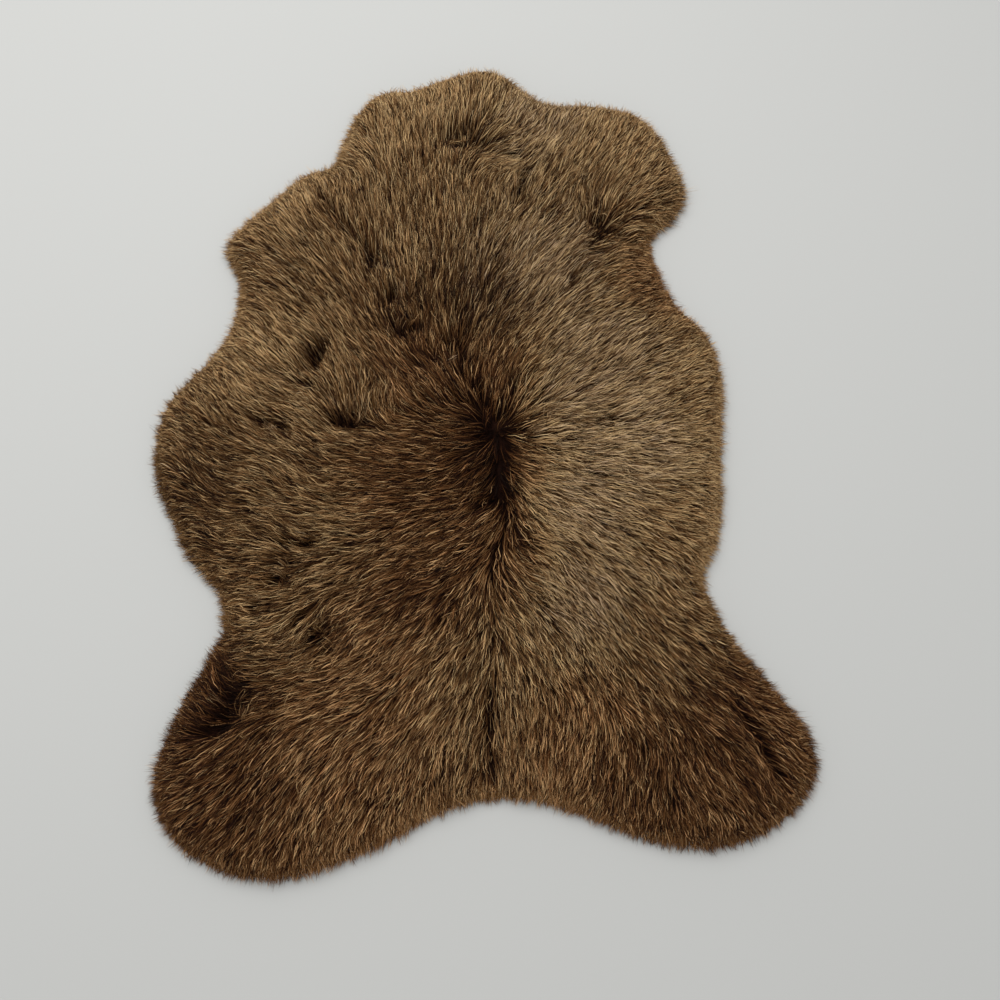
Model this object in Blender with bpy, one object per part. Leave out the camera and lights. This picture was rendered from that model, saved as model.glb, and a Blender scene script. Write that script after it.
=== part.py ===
"""A natural brown sheepskin, lying flat on a floor: the tanned hide, and the fleece that grows on it.

Sizes are in metres. +Z is up, +Y runs along the back from the tail to the neck, and the origin is on
the floor, under the middle of the skin's footprint. The hide is one flat sheet cut to the shape of
the animal. The fleece is one lumpy slab of wool over it, crowned in from its rim, parted and creased
where the wool is, with a ring of pointed locks that fan out past the hide and rest on the floor.
"""

import math

import bmesh
import bpy
import numpy as np
from mathutils import Matrix, Vector, noise
from mathutils.geometry import delaunay_2d_cdt

# The hide, a sheet whose edge lies well under the wool
HIDE_THICKNESS = 0.002
HIDE_INSET = 0.028
HIDE_RIM_POINTS = 180

# The fleece, whose wall stands inside the outline and whose crown rises from the wall's top
SEAT_GAP = 0.0003
WAIST_INSET = 0.019
WAIST_HEIGHT = 0.017
PILE_HEIGHT = 0.038
CROWN_REACH = 0.060
CROWN_PITCH = 0.018
RIM_CALM = 0.45

# The staples, the clumps that the wool hangs together in, combed away from a whorl on the back
WHORL = (0.030, -0.008)
STAPLE_WIDTH = 0.027
STAPLE_LENGTH = 0.058
STAPLE_SAMPLES = 5
STAPLE_RELIEF = 0.014

# The locks at the rim: each takes its share of the wall, and leans and reaches its own way
LOCKS = 210
LOCK_SHARE = 0.70
LOCK_JITTER = 0.10
LOCK_SWING = math.radians(15)
LOCK_REACH = 0.92
LOCK_SPREAD = 0.24
LOCK_LONGEST = 0.034
LOCK_REST = 0.0004
LOCK_TIP = 0.0014
LOCK_STATIONS = (
    # shares of the reach, of the root's width and of the root's height
    {"reach": 0.45, "width": 0.84, "height": 0.66},
    {"reach": 0.80, "width": 0.50, "height": 0.32},
)

WOOL_COLOUR = (0.118, 0.072, 0.036, 1.0)
WOOL_ROUGHNESS = 0.9
SKIN_COLOUR = (0.62, 0.52, 0.40, 1.0)
SKIN_ROUGHNESS = 0.85

# Steps along the smooth outline, and along each stretch between two of its named points
OUTLINE_STEPS = 1200
STRETCH_STEPS = 24

# Where the tips of the rim locks reach, clockwise from the neck as seen from above
OUTLINE = (
    # name, x, y
    ("nape", 0.010, 0.502),
    ("nape_right", 0.042, 0.497),
    ("neck_right", 0.070, 0.471),
    ("neck_dip_right", 0.100, 0.452),
    ("fore_right_root", 0.160, 0.449),
    ("fore_right_top", 0.212, 0.438),
    ("fore_right_round", 0.238, 0.415),
    ("fore_right_front", 0.262, 0.366),
    ("fore_right_toe", 0.275, 0.318),
    ("fore_right_heel", 0.256, 0.280),
    ("elbow_right", 0.228, 0.256),
    ("chest_right", 0.236, 0.196),
    ("chest_right_low", 0.256, 0.156),
    ("shoulder_right", 0.290, 0.118),
    ("flank_right_top", 0.303, 0.050),
    ("flank_right", 0.295, -0.030),
    ("flank_right_low", 0.290, -0.104),
    ("groin_right_top", 0.280, -0.150),
    ("groin_right", 0.262, -0.184),
    ("thigh_right", 0.284, -0.245),
    ("thigh_right_low", 0.328, -0.306),
    ("hock_right", 0.366, -0.358),
    ("foot_right_tip", 0.374, -0.400),
    ("foot_right", 0.342, -0.446),
    ("foot_right_sole", 0.272, -0.478),
    ("foot_right_heel", 0.190, -0.472),
    ("rump_right_low", 0.105, -0.440),
    ("rump_right", 0.058, -0.427),
    ("tail", 0.006, -0.426),
    ("rump_left", -0.037, -0.437),
    ("rump_left_low", -0.090, -0.464),
    ("foot_left_heel", -0.180, -0.498),
    ("foot_left_sole", -0.236, -0.502),
    ("foot_left", -0.296, -0.482),
    ("foot_left_toe", -0.337, -0.444),
    ("foot_left_tip", -0.348, -0.400),
    ("hock_left", -0.334, -0.350),
    ("hock_left_top", -0.316, -0.306),
    ("thigh_left_low", -0.296, -0.272),
    ("thigh_left", -0.282, -0.238),
    ("groin_left", -0.292, -0.192),
    ("flank_left_low", -0.324, -0.158),
    ("flank_left", -0.346, -0.114),
    ("flank_left_round", -0.372, -0.055),
    ("flank_left_top", -0.366, 0.026),
    ("shoulder_left_low", -0.336, 0.066),
    ("shoulder_left", -0.303, 0.110),
    ("chest_left", -0.287, 0.160),
    ("elbow_left", -0.289, 0.202),
    ("fore_left_toe", -0.308, 0.234),
    ("fore_left_front", -0.288, 0.270),
    ("fore_left_top", -0.248, 0.310),
    ("fore_left_root", -0.214, 0.344),
    ("neck_dip_left", -0.176, 0.358),
    ("neck_left", -0.163, 0.396),
    ("crest_left", -0.142, 0.444),
    ("crest_left_top", -0.112, 0.469),
    ("crest_dip", -0.080, 0.470),
    ("crest_right", -0.036, 0.488),
)

# Partings and creases in the wool, each a straight furrow from one end to the other
FURROWS = (
    # name, its two ends, half its width, its depth
    ("nape_cleft", (-0.032, 0.388), (0.015, 0.380), 0.013, 0.010),
    ("neck_crease", (0.000, 0.368), (0.074, 0.353), 0.014, 0.005),
    ("neck_right_crease", (0.067, 0.331), (0.055, 0.284), 0.014, 0.004),
    ("elbow_right_crease", (0.149, 0.262), (0.198, 0.240), 0.016, 0.008),
    ("fore_left_crease", (-0.185, 0.295), (-0.112, 0.209), 0.018, 0.006),
    ("shoulder_left_tuft", (-0.104, 0.157), (-0.072, 0.118), 0.015, 0.005),
    ("shoulder_slit", (-0.179, 0.100), (-0.188, 0.070), 0.012, 0.010),
    ("flank_left_tuft", (-0.162, 0.003), (-0.132, 0.003), 0.016, 0.007),
    ("flank_left_curl", (-0.213, -0.147), (-0.182, -0.147), 0.014, 0.006),
    ("withers_parting", (-0.028, 0.096), (0.023, 0.002), 0.022, 0.005),
    ("back_whorl", (0.030, -0.008), (0.031, -0.084), 0.020, 0.010),
    ("back_parting", (0.031, -0.084), (0.062, -0.150), 0.018, 0.006),
    ("loin_parting", (0.046, -0.150), (0.074, -0.226), 0.016, 0.005),
    ("tail_parting", (0.017, -0.312), (0.017, -0.401), 0.016, 0.009),
    ("groin_left_crease", (-0.173, -0.235), (-0.156, -0.266), 0.015, 0.007),
    ("hock_left_crease", (-0.300, -0.275), (-0.254, -0.324), 0.016, 0.009),
    ("hock_left_fold", (-0.254, -0.324), (-0.282, -0.355), 0.014, 0.007),
    ("groin_right_crease", (0.239, -0.176), (0.251, -0.203), 0.014, 0.007),
    ("foot_right_cleft", (0.290, -0.335), (0.324, -0.405), 0.013, 0.008),
)

# Broad rises and hollows, where the hide and the wool lie high or low
SWELLS = (
    # name, its centre, its radius, its rise
    ("neck_swell", (0.000, 0.440), 0.070, 0.003),
    ("fore_right_swell", (0.205, 0.345), 0.060, 0.005),
    ("fore_left_swell", (-0.240, 0.260), 0.055, 0.004),
    ("flank_left_swell", (-0.300, -0.020), 0.080, 0.004),
    ("back_hollow", (-0.020, -0.090), 0.110, -0.004),
    ("loin_right_swell", (0.150, -0.060), 0.120, 0.003),
    ("thigh_left_swell", (-0.260, -0.410), 0.090, 0.005),
    ("thigh_right_swell", (0.220, -0.400), 0.090, 0.004),
)


def smooth_closed(points):
    """A closed curve through the points: a centripetal Catmull-Rom spline, evenly stepped."""
    points = np.asarray(points, float)
    before, after = np.roll(points, 1, axis=0), np.roll(points, -1, axis=0)
    beyond = np.roll(points, -2, axis=0)
    t0 = np.zeros(len(points))
    t1 = t0 + np.linalg.norm(points - before, axis=1) ** 0.5
    t2 = t1 + np.linalg.norm(after - points, axis=1) ** 0.5
    t3 = t2 + np.linalg.norm(beyond - after, axis=1) ** 0.5

    def between(a, b, ta, tb, t):
        share = ((t - ta) / (tb - ta))[:, None]
        return a * (1 - share) + b * share

    rows = []
    for step in np.arange(STRETCH_STEPS) / STRETCH_STEPS:
        t = t1 + (t2 - t1) * step
        a1 = between(before, points, t0, t1, t)
        a2 = between(points, after, t1, t2, t)
        a3 = between(after, beyond, t2, t3, t)
        b1 = between(a1, a2, t0, t2, t)
        b2 = between(a2, a3, t1, t3, t)
        rows.append(between(b1, b2, t1, t2, t))
    curve = np.stack(rows, axis=1).reshape(-1, 2)
    return walked(curve, np.arange(OUTLINE_STEPS) / OUTLINE_STEPS)


def walked(ring, places):
    """The ring's points at these shares of its whole length."""
    closed = np.vstack([ring, ring[:1]])
    along = np.concatenate([[0], np.cumsum(np.linalg.norm(np.diff(closed, axis=0), axis=1))])
    at = np.asarray(places) % 1.0 * along[-1]
    return np.stack([np.interp(at, along, closed[:, k]) for k in range(2)], axis=1)


def outward(ring):
    """The unit normal at each point of a clockwise ring, pointing out of it."""
    along = np.roll(ring, -1, axis=0) - np.roll(ring, 1, axis=0)
    normal = np.stack([-along[:, 1], along[:, 0]], axis=1)
    return normal / np.linalg.norm(normal, axis=1)[:, None]


def inset(ring, distance, step=0.002):
    """The ring moved inwards a little at a time, and eased after each move, so that it never crosses."""
    count = len(ring)
    for _ in range(round(distance / step)):
        ring = ring - step * outward(ring)
        ring = 0.5 * ring + 0.25 * (np.roll(ring, 1, axis=0) + np.roll(ring, -1, axis=0))
        ring = walked(ring, np.arange(count) / count)
    return ring


def distance_to(points, ring):
    """How far each point is from the nearest point of the ring."""
    return np.linalg.norm(points[:, None] - ring[None], axis=2).min(axis=1)


def is_inside(points, ring):
    """Whether each point is inside the ring: a line to its right then crosses an odd count of edges."""
    x, y = points[:, 0][:, None], points[:, 1][:, None]
    x1, y1 = ring.T
    x2, y2 = np.roll(ring, -1, axis=0).T
    spans = (y1 > y) != (y2 > y)
    rise = np.where(y2 == y1, 1.0, y2 - y1)
    crosses = spans & (x < x1 + (y - y1) * (x2 - x1) / rise)
    return crosses.sum(axis=1) % 2 == 1


def furrow_depth(points):
    """How deep the partings and creases cut at each point: a bell across, and rounded at the ends."""
    deep = np.zeros(len(points))
    for _, start, end, half_width, depth in FURROWS:
        start, run = np.array(start), np.subtract(end, start)
        share = np.clip((points - start) @ run / (run @ run), 0, 1)
        off = np.linalg.norm(points - start - share[:, None] * run, axis=1)
        deep = np.maximum(deep, depth * np.exp(-((off / half_width) ** 2)))
    return deep


def swell(points):
    """The broad rises and hollows at each point, each a bell round its centre."""
    high = np.zeros(len(points))
    for _, centre, radius, rise in SWELLS:
        off = np.linalg.norm(points - np.array(centre), axis=1)
        high += rise * np.exp(-((off / radius) ** 2))
    return high


def staples(points):
    """The relief of the staples at each point: noise as fine as a staple is wide, averaged over a
    staple's length along the way the wool is combed, which draws it out into clumps."""
    shares = np.linspace(-0.5, 0.5, STAPLE_SAMPLES)
    relief = np.empty(len(points))
    for i, (x, y) in enumerate(points):
        place = Vector((x, y, 0))
        combed = (place - Vector(WHORL).to_3d()).normalized()
        samples = [noise.noise((place + combed * STAPLE_LENGTH * k) / STAPLE_WIDTH) for k in shares]
        relief[i] = np.mean(samples)
    return STAPLE_RELIEF * relief


def fleece_height(points, rim):
    """The top of the wool: a quarter ellipse in from the rim to the full pile, and its unevenness,
    which is calmer at the rim."""
    share = np.clip(distance_to(points, rim) / CROWN_REACH, 0, 1)
    crown = np.sqrt(1 - (1 - share) ** 2)
    height = WAIST_HEIGHT + (PILE_HEIGHT - WAIST_HEIGHT) * crown
    calm = RIM_CALM + (1 - RIM_CALM) * share
    return height + calm * (swell(points) - furrow_depth(points) + staples(points))


def hexagonal_points(rim, pitch):
    """Points on a hexagonal net inside the rim, none of them crowding it."""
    low, high = rim.min(axis=0), rim.max(axis=0)
    rows = np.arange(low[1], high[1], pitch * math.sqrt(3) / 2)
    net = []
    for number, y in enumerate(rows):
        for x in np.arange(low[0] + pitch / 2 * (number % 2), high[0], pitch):
            net.append((x, y))
    net = np.array(net)
    return net[is_inside(net, rim) & (distance_to(net, rim) > 0.6 * pitch)]


def rim_places():
    """Where the wall's corners stand, as shares of the rim: each lock's root, then a gap. The two
    waves never close a gap, because together they move its sides by less than it is wide."""
    number = np.arange(LOCKS)
    start = number + LOCK_JITTER * np.sin(2.1 * number)
    end = number + LOCK_SHARE + LOCK_JITTER * np.sin(3.7 * number)
    return np.stack([start, end], axis=1).ravel() / LOCKS


def reach_from(point, direction, outline):
    """How far it is from the point, along the direction, to the outline."""
    edge, off = np.roll(outline, -1, axis=0) - outline, outline - point
    cross = direction[0] * edge[:, 1] - direction[1] * edge[:, 0]
    cross = np.where(cross == 0, 1e-12, cross)
    far = (off[:, 0] * edge[:, 1] - off[:, 1] * edge[:, 0]) / cross
    share = (off[:, 0] * direction[1] - off[:, 1] * direction[0]) / cross
    hits = far[(share >= 0) & (share <= 1) & (far > 0)]
    return min([*hits, LOCK_LONGEST])


def grow_lock(bm, root, number, normal, outline):
    """A lock grown out of four corners of the wall, narrowing in stations to a tip on the floor.

    root is the corners in order: low, low, high, high, going round them as seen from outside."""
    wave = noise.noise((number * 0.37, 0.0, 2.0))
    swing = LOCK_SWING * (wave + 0.5 * math.sin(number * 2.4))
    direction = np.array(Matrix.Rotation(swing, 2) @ Vector(normal).normalized())
    side = np.array([-direction[1], direction[0]])
    corners = np.array([vertex.co for vertex in root])
    middle = corners[:, :2].mean(axis=0)
    width = np.linalg.norm(corners[1] - corners[0])
    seat = corners[0, 2]
    height = corners[2:, 2].mean() - seat
    reach = reach_from(middle, direction, outline)
    reach *= LOCK_REACH + LOCK_SPREAD * (wave + 0.5 * math.sin(number * 1.7))
    last = root
    for station in LOCK_STATIONS:
        centre = middle + direction * reach * station["reach"]
        half = side * width * station["width"] / 2
        low = LOCK_REST + (seat - LOCK_REST) * (1 - station["reach"]) ** 2
        high = low + height * station["height"]
        near, far = centre + half, centre - half
        ring = [bm.verts.new(corner) for corner in ((*near, low), (*far, low), (*far, high), (*near, high))]
        for k in range(4):
            bm.faces.new((last[k], last[k - 3], ring[k - 3], ring[k]))
        last = ring
    tip = bm.verts.new((*(middle + direction * reach), LOCK_TIP))
    for k in range(4):
        bm.faces.new((last[k], last[k - 3], tip))


def plain_material(name, colour, roughness):
    """A dull finish of one colour."""
    material = bpy.data.materials.new(name)
    material.use_nodes = True
    shader = material.node_tree.nodes["Principled BSDF"]
    shader.inputs["Base Color"].default_value = colour
    shader.inputs["Roughness"].default_value = roughness
    shader.inputs["Metallic"].default_value = 0.0
    return material


def finished(bm, name, material):
    """An object of this name made from the bmesh, its faces turned outwards."""
    bmesh.ops.recalc_face_normals(bm, faces=bm.faces)
    mesh = bpy.data.meshes.new(name)
    bm.to_mesh(mesh)
    bm.free()
    mesh.materials.append(material)
    made = bpy.data.objects.new(name, mesh)
    bpy.context.scene.collection.objects.link(made)
    return made


def make_hide(outline):
    """The skin: a flat sheet whose cut edge lies well under the wool."""
    rim = walked(inset(outline, HIDE_INSET), np.arange(HIDE_RIM_POINTS) / HIDE_RIM_POINTS)
    bm = bmesh.new()
    face = bm.faces.new([bm.verts.new((x, y, 0.0)) for x, y in rim])
    raised = bmesh.ops.extrude_face_region(bm, geom=[face])
    top = [item for item in raised["geom"] if isinstance(item, bmesh.types.BMVert)]
    bmesh.ops.translate(bm, verts=top, vec=(0, 0, HIDE_THICKNESS))
    return finished(bm, "hide", plain_material("tanned_skin", SKIN_COLOUR, SKIN_ROUGHNESS))


def make_fleece(outline):
    """The wool: crowned top, wall and flat underside, with a lock grown out of every second stretch
    of the wall."""
    rim = walked(inset(outline, WAIST_INSET), rim_places())
    normals = outward(rim)
    net = np.vstack([rim, hexagonal_points(rim, CROWN_PITCH)])
    made = delaunay_2d_cdt([Vector(p) for p in net], [], [list(range(len(rim)))], 1, 1e-7)
    if len(made[0]) != len(net):
        raise ValueError("the net over the fleece gained or lost points")
    bm = bmesh.new()
    top = [bm.verts.new((x, y, z)) for (x, y), z in zip(net, fleece_height(net, rim))]
    for triangle in made[2]:
        bm.faces.new([top[i] for i in triangle])
    low = [bm.verts.new((x, y, HIDE_THICKNESS + SEAT_GAP)) for x, y in rim]
    bm.faces.new(low)
    for i in range(len(rim)):
        j = (i + 1) % len(rim)
        wall = (low[i], low[j], top[j], top[i])
        if i % 2:
            bm.faces.new(wall)
        else:
            grow_lock(bm, wall, i // 2, normals[i] + normals[j], outline)
    return finished(bm, "fleece", plain_material("brown_wool", WOOL_COLOUR, WOOL_ROUGHNESS))


def centre_on_footprint(objects):
    """Moves the meshes so that the middle of their common footprint is over the origin."""
    points = np.array([vertex.co for made in objects for vertex in made.data.vertices])
    middle = (points.min(axis=0) + points.max(axis=0)) / 2
    for made in objects:
        made.data.transform(Matrix.Translation((-middle[0], -middle[1], 0)))


def main():
    for leftover in list(bpy.data.objects):
        bpy.data.objects.remove(leftover)
    outline = smooth_closed([(x, y) for _, x, y in OUTLINE])
    centre_on_footprint([make_hide(outline), make_fleece(outline)])


main()
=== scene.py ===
"""The looks of a natural brown sheepskin: its wool, lock by lock, its tanned skin, and a plain studio.

Sizes are in metres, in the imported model's frame: +Z up, +Y along the back from the tail to the neck,
the origin on the floor under the middle of the skin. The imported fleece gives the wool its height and
its edge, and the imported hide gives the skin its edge.
"""

import math
from functools import cache
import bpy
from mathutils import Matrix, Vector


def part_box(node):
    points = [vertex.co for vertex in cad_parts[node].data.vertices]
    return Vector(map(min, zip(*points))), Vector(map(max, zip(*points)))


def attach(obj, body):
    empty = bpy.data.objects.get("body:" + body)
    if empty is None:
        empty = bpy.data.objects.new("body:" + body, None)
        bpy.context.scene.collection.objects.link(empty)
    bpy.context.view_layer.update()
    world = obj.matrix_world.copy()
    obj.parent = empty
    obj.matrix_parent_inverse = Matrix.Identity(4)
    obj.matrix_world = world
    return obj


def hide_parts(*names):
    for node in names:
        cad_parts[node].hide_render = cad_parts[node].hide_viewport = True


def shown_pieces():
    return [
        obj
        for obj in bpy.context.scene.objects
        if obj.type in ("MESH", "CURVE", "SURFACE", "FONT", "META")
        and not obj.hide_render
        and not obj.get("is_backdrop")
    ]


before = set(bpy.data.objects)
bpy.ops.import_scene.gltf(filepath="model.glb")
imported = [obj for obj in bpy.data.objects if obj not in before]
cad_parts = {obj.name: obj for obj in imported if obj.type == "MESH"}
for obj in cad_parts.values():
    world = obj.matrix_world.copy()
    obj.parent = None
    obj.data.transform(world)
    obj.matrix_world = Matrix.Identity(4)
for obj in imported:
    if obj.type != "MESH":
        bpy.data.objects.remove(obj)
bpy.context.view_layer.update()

from types import SimpleNamespace

import bpy
import numpy as np
from mathutils import Matrix, Vector

bl_info = {
    "name": "Brown sheepskin",
    "version": (1, 0, 0),
    "blender": (4, 5, 0),
    "location": "View3D > Sidebar > Sheepskin",
    "description": "Wool, tanned skin and studio for a natural brown sheepskin",
    "category": "Add Mesh",
}

# How far the wool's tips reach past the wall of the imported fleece
RIM_REACH = 0.020

# The nets that hold the wool's lie, height and colour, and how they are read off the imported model
NET_PITCH = 0.004
NET_MARGIN = 0.040
RING_POINTS = 1800
RING_EASING = 6
HEIGHT_BLEND = 0.009

# Where the wool's edge starts to rise from the floor, and how deep inside the edge its crown starts
EDGE_FOOT = -0.006
CROWN_START = 0.050
CROWN_READ = 0.036

# How the comb, the partings and the colours spread from their places
COMB_SOFTNESS = 0.012
COMB_POWER = 2.0
PATCH_SOFTNESS = 0.030
PATCH_POWER = 2.0

# Shares of a strand's length where its bends stand, in a lock, in the edge's fringe and in a tuft
LOCK_STATIONS = np.array([0.0, 0.42, 0.76, 1.0])
FRINGE_STATIONS = np.array([0.0, 0.55, 1.0])
TUFT_STATIONS = np.linspace(0.0, 1.0, 8)

# A pit between the locks: how far it pushes their lie aside, how deep it is, and how often it stops one
PIT_PUSH = 0.15
PIT_DEPTH = 0.006
PIT_HOLD = 0.6

# How much lighter the wool is painted at its edge: painted light that comes through the wool and up from the
# floor
EDGE_LIGHT = 0.20

# The most lightness that the painted shade of partings and pits together may take from a place
DEEPEST_SHADE = 0.42

# The most triangles that all the pieces may hold together
TRIANGLE_LIMIT = 1_000_000

# Which way the wool lies, as read from place to place: degrees, 0 to the right and 90 to the neck
COMB = (
    # name, x, y, heading
    ("crest_top", -0.03, 0.47, 95),
    ("nape_top", 0.04, 0.47, 80),
    ("crest_left", -0.10, 0.44, 108),
    ("neck_left_rim", -0.15, 0.37, 138),
    ("neck_dip_right", 0.09, 0.42, 68),
    ("nape_middle", -0.03, 0.41, 92),
    ("nape_left", -0.09, 0.38, 100),
    ("cleft_right", 0.04, 0.36, 5),
    ("cleft_right_end", 0.08, 0.36, 40),
    ("neck_middle_left", -0.09, 0.31, 95),
    ("neck_middle", -0.03, 0.30, 92),
    ("neck_middle_right", 0.04, 0.31, 78),
    ("neck_base_right", 0.06, 0.27, 52),
    ("fore_right_top", 0.17, 0.41, 62),
    ("fore_right_round", 0.23, 0.38, 52),
    ("fore_right_middle", 0.17, 0.35, 50),
    ("fore_right_front", 0.25, 0.32, 38),
    ("fore_right_root", 0.10, 0.35, 55),
    ("fore_right_low", 0.19, 0.31, 45),
    ("fore_right_heel", 0.23, 0.27, 20),
    ("swirl_right", 0.15, 0.28, 100),
    ("elbow_right", 0.17, 0.24, 8),
    ("elbow_right_rim", 0.21, 0.23, 2),
    ("shoulder_right_top", 0.11, 0.27, 40),
    ("shoulder_right", 0.11, 0.21, 38),
    ("chest_right", 0.17, 0.19, 22),
    ("chest_right_rim", 0.23, 0.18, 18),
    ("withers_right", 0.05, 0.21, 55),
    ("withers", 0.00, 0.20, 80),
    ("withers_left", -0.05, 0.21, 95),
    ("withers_low_right", 0.06, 0.12, 42),
    ("withers_low", 0.01, 0.10, 68),
    ("withers_low_left", -0.04, 0.10, 92),
    ("whorl_above", 0.03, 0.03, 85),
    ("whorl_left", 0.000, -0.018, 178),
    ("whorl_below_left", 0.013, -0.040, 230),
    ("whorl_below", 0.029, -0.036, 276),
    ("whorl_below_right", 0.052, -0.030, -32),
    ("spine_left_high", 0.008, -0.076, 222),
    ("spine_high", 0.031, -0.068, 268),
    ("neck_root_left", -0.16, 0.30, 105),
    ("shoulder_left_top", -0.20, 0.30, 120),
    ("fore_left_middle", -0.24, 0.25, 135),
    ("fore_left_tip", -0.29, 0.23, 152),
    ("fore_left_low", -0.26, 0.20, 150),
    ("fore_left_rim_low", -0.27, 0.16, 155),
    ("crease_left_side", -0.17, 0.24, 130),
    ("crease_right_side", -0.13, 0.26, 100),
    ("shoulder_left", -0.18, 0.18, 142),
    ("shoulder_left_right", -0.14, 0.18, 120),
    ("tuft_high", -0.09, 0.18, 95),
    ("tuft_low", -0.08, 0.14, 105),
    ("chest_left", -0.23, 0.14, 145),
    ("chest_left_low", -0.28, 0.11, 145),
    ("slit_left", -0.21, 0.09, 142),
    ("slit_right", -0.16, 0.09, 125),
    ("slit_far_right", -0.12, 0.09, 140),
    ("back_left_high", -0.06, 0.05, 135),
    ("flank_left_rim_top", -0.33, 0.04, 138),
    ("flank_left_top", -0.29, 0.03, 138),
    ("flank_left_tuft", -0.22, 0.03, 165),
    ("tuft_up", -0.15, 0.03, 105),
    ("tuft_up_right", -0.13, 0.03, 70),
    ("tuft_left", -0.17, 0.01, 150),
    ("flank_left_rim", -0.35, -0.02, 150),
    ("flank_left_dark", -0.31, -0.06, 135),
    ("flank_left_rim_low", -0.34, -0.09, 170),
    ("flank_left_middle", -0.27, -0.06, 172),
    ("flank_left_inner", -0.21, -0.05, 148),
    ("tuft_below", -0.14, -0.02, 178),
    ("back_left", -0.06, -0.02, 176),
    ("back_left_middle", -0.12, -0.08, 185),
    ("loin_left", -0.04, -0.08, 188),
    ("flank_left_low", -0.31, -0.15, 158),
    ("flank_left_low_inner", -0.25, -0.12, 178),
    ("belly_left", -0.17, -0.13, 182),
    ("loin_left_low", -0.06, -0.14, 202),
    ("spine_left", 0.00, -0.14, 215),
    ("curl_top", -0.21, -0.15, 150),
    ("curl_left", -0.24, -0.17, 178),
    ("curl_right", -0.19, -0.18, 205),
    ("groin_left_rim", -0.30, -0.20, 172),
    ("groin_left", -0.26, -0.22, 176),
    ("belly_left_low", -0.12, -0.19, 208),
    ("vee_left", -0.18, -0.24, 235),
    ("vee_right", -0.15, -0.24, 215),
    ("rump_left_high", -0.08, -0.26, 226),
    ("rump_left_spine", -0.02, -0.25, 234),
    ("groin_left_low", -0.26, -0.26, 185),
    ("thigh_left_inner", -0.20, -0.28, 192),
    ("thigh_left_middle", -0.14, -0.31, 205),
    ("thigh_left_tuft", -0.29, -0.29, 122),
    ("hock_left_rim", -0.31, -0.32, 150),
    ("hock_left", -0.28, -0.33, 145),
    ("hock_left_right", -0.24, -0.33, 195),
    ("foot_left_tip", -0.33, -0.38, 190),
    ("foot_left_middle", -0.28, -0.39, 208),
    ("foot_left_inner", -0.23, -0.38, 230),
    ("foot_left_fan", -0.248, -0.362, 252),
    ("foot_left_spread", -0.242, -0.388, 240),
    ("foot_left_rim_low", -0.30, -0.45, 222),
    ("foot_left_low", -0.25, -0.43, 228),
    ("foot_left_sole", -0.25, -0.48, 245),
    ("heel_left", -0.18, -0.47, 252),
    ("heel_left_inner", -0.19, -0.41, 236),
    ("rump_left_low", -0.11, -0.42, 248),
    ("rump_left", -0.10, -0.36, 228),
    ("rump_left_inner", -0.05, -0.33, 240),
    ("tail_left", -0.01, -0.36, 256),
    ("tail_left_low", -0.02, -0.41, 258),
    ("tail_left_high", 0.00, -0.30, 248),
    ("whorl_right", 0.07, -0.01, 12),
    ("whorl_right_far", 0.13, -0.01, 2),
    ("flank_right_high", 0.20, 0.03, 18),
    ("flank_right_rim_high", 0.27, 0.03, 16),
    ("shoulder_right_low", 0.15, 0.10, 30),
    ("shoulder_right_rim", 0.25, 0.10, 28),
    ("back_right_high", 0.09, 0.05, 38),
    ("back_right_near", 0.06, -0.05, -22),
    ("back_right", 0.10, -0.06, -20),
    ("flank_right", 0.18, -0.05, -14),
    ("flank_right_rim", 0.27, -0.04, 3),
    ("loin_right", 0.10, -0.12, -34),
    ("flank_right_low", 0.19, -0.12, -28),
    ("flank_right_rim_low", 0.26, -0.12, -8),
    ("groin_right", 0.23, -0.17, -42),
    ("spine_right", 0.06, -0.17, -42),
    ("rump_right_high", 0.13, -0.20, -52),
    ("rump_right_middle", 0.19, -0.23, -52),
    ("thigh_right_rim", 0.27, -0.24, -30),
    ("thigh_right", 0.24, -0.27, -45),
    ("rump_right_spine", 0.05, -0.25, -58),
    ("rump_right", 0.13, -0.29, -66),
    ("thigh_right_middle", 0.19, -0.32, -60),
    ("hock_right_rim", 0.31, -0.32, -34),
    ("hock_right", 0.28, -0.34, -44),
    ("foot_right_rim", 0.35, -0.37, -42),
    ("foot_right_tip", 0.35, -0.42, -45),
    ("foot_right_middle", 0.30, -0.40, -56),
    ("foot_right_low", 0.29, -0.46, -52),
    ("sole_right", 0.24, -0.47, -74),
    ("heel_right", 0.17, -0.45, -95),
    ("foot_right_inner", 0.24, -0.40, -70),
    ("heel_right_inner", 0.18, -0.40, -95),
    ("rump_right_low", 0.11, -0.42, -112),
    ("rump_right_low_high", 0.11, -0.37, -98),
    ("tail_right", 0.05, -0.37, -92),
    ("tail_right_low", 0.05, -0.41, -98),
    ("tail_right_high", 0.04, -0.30, -78),
    ("tail_right_line", 0.02, -0.37, -76),
)
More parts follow.
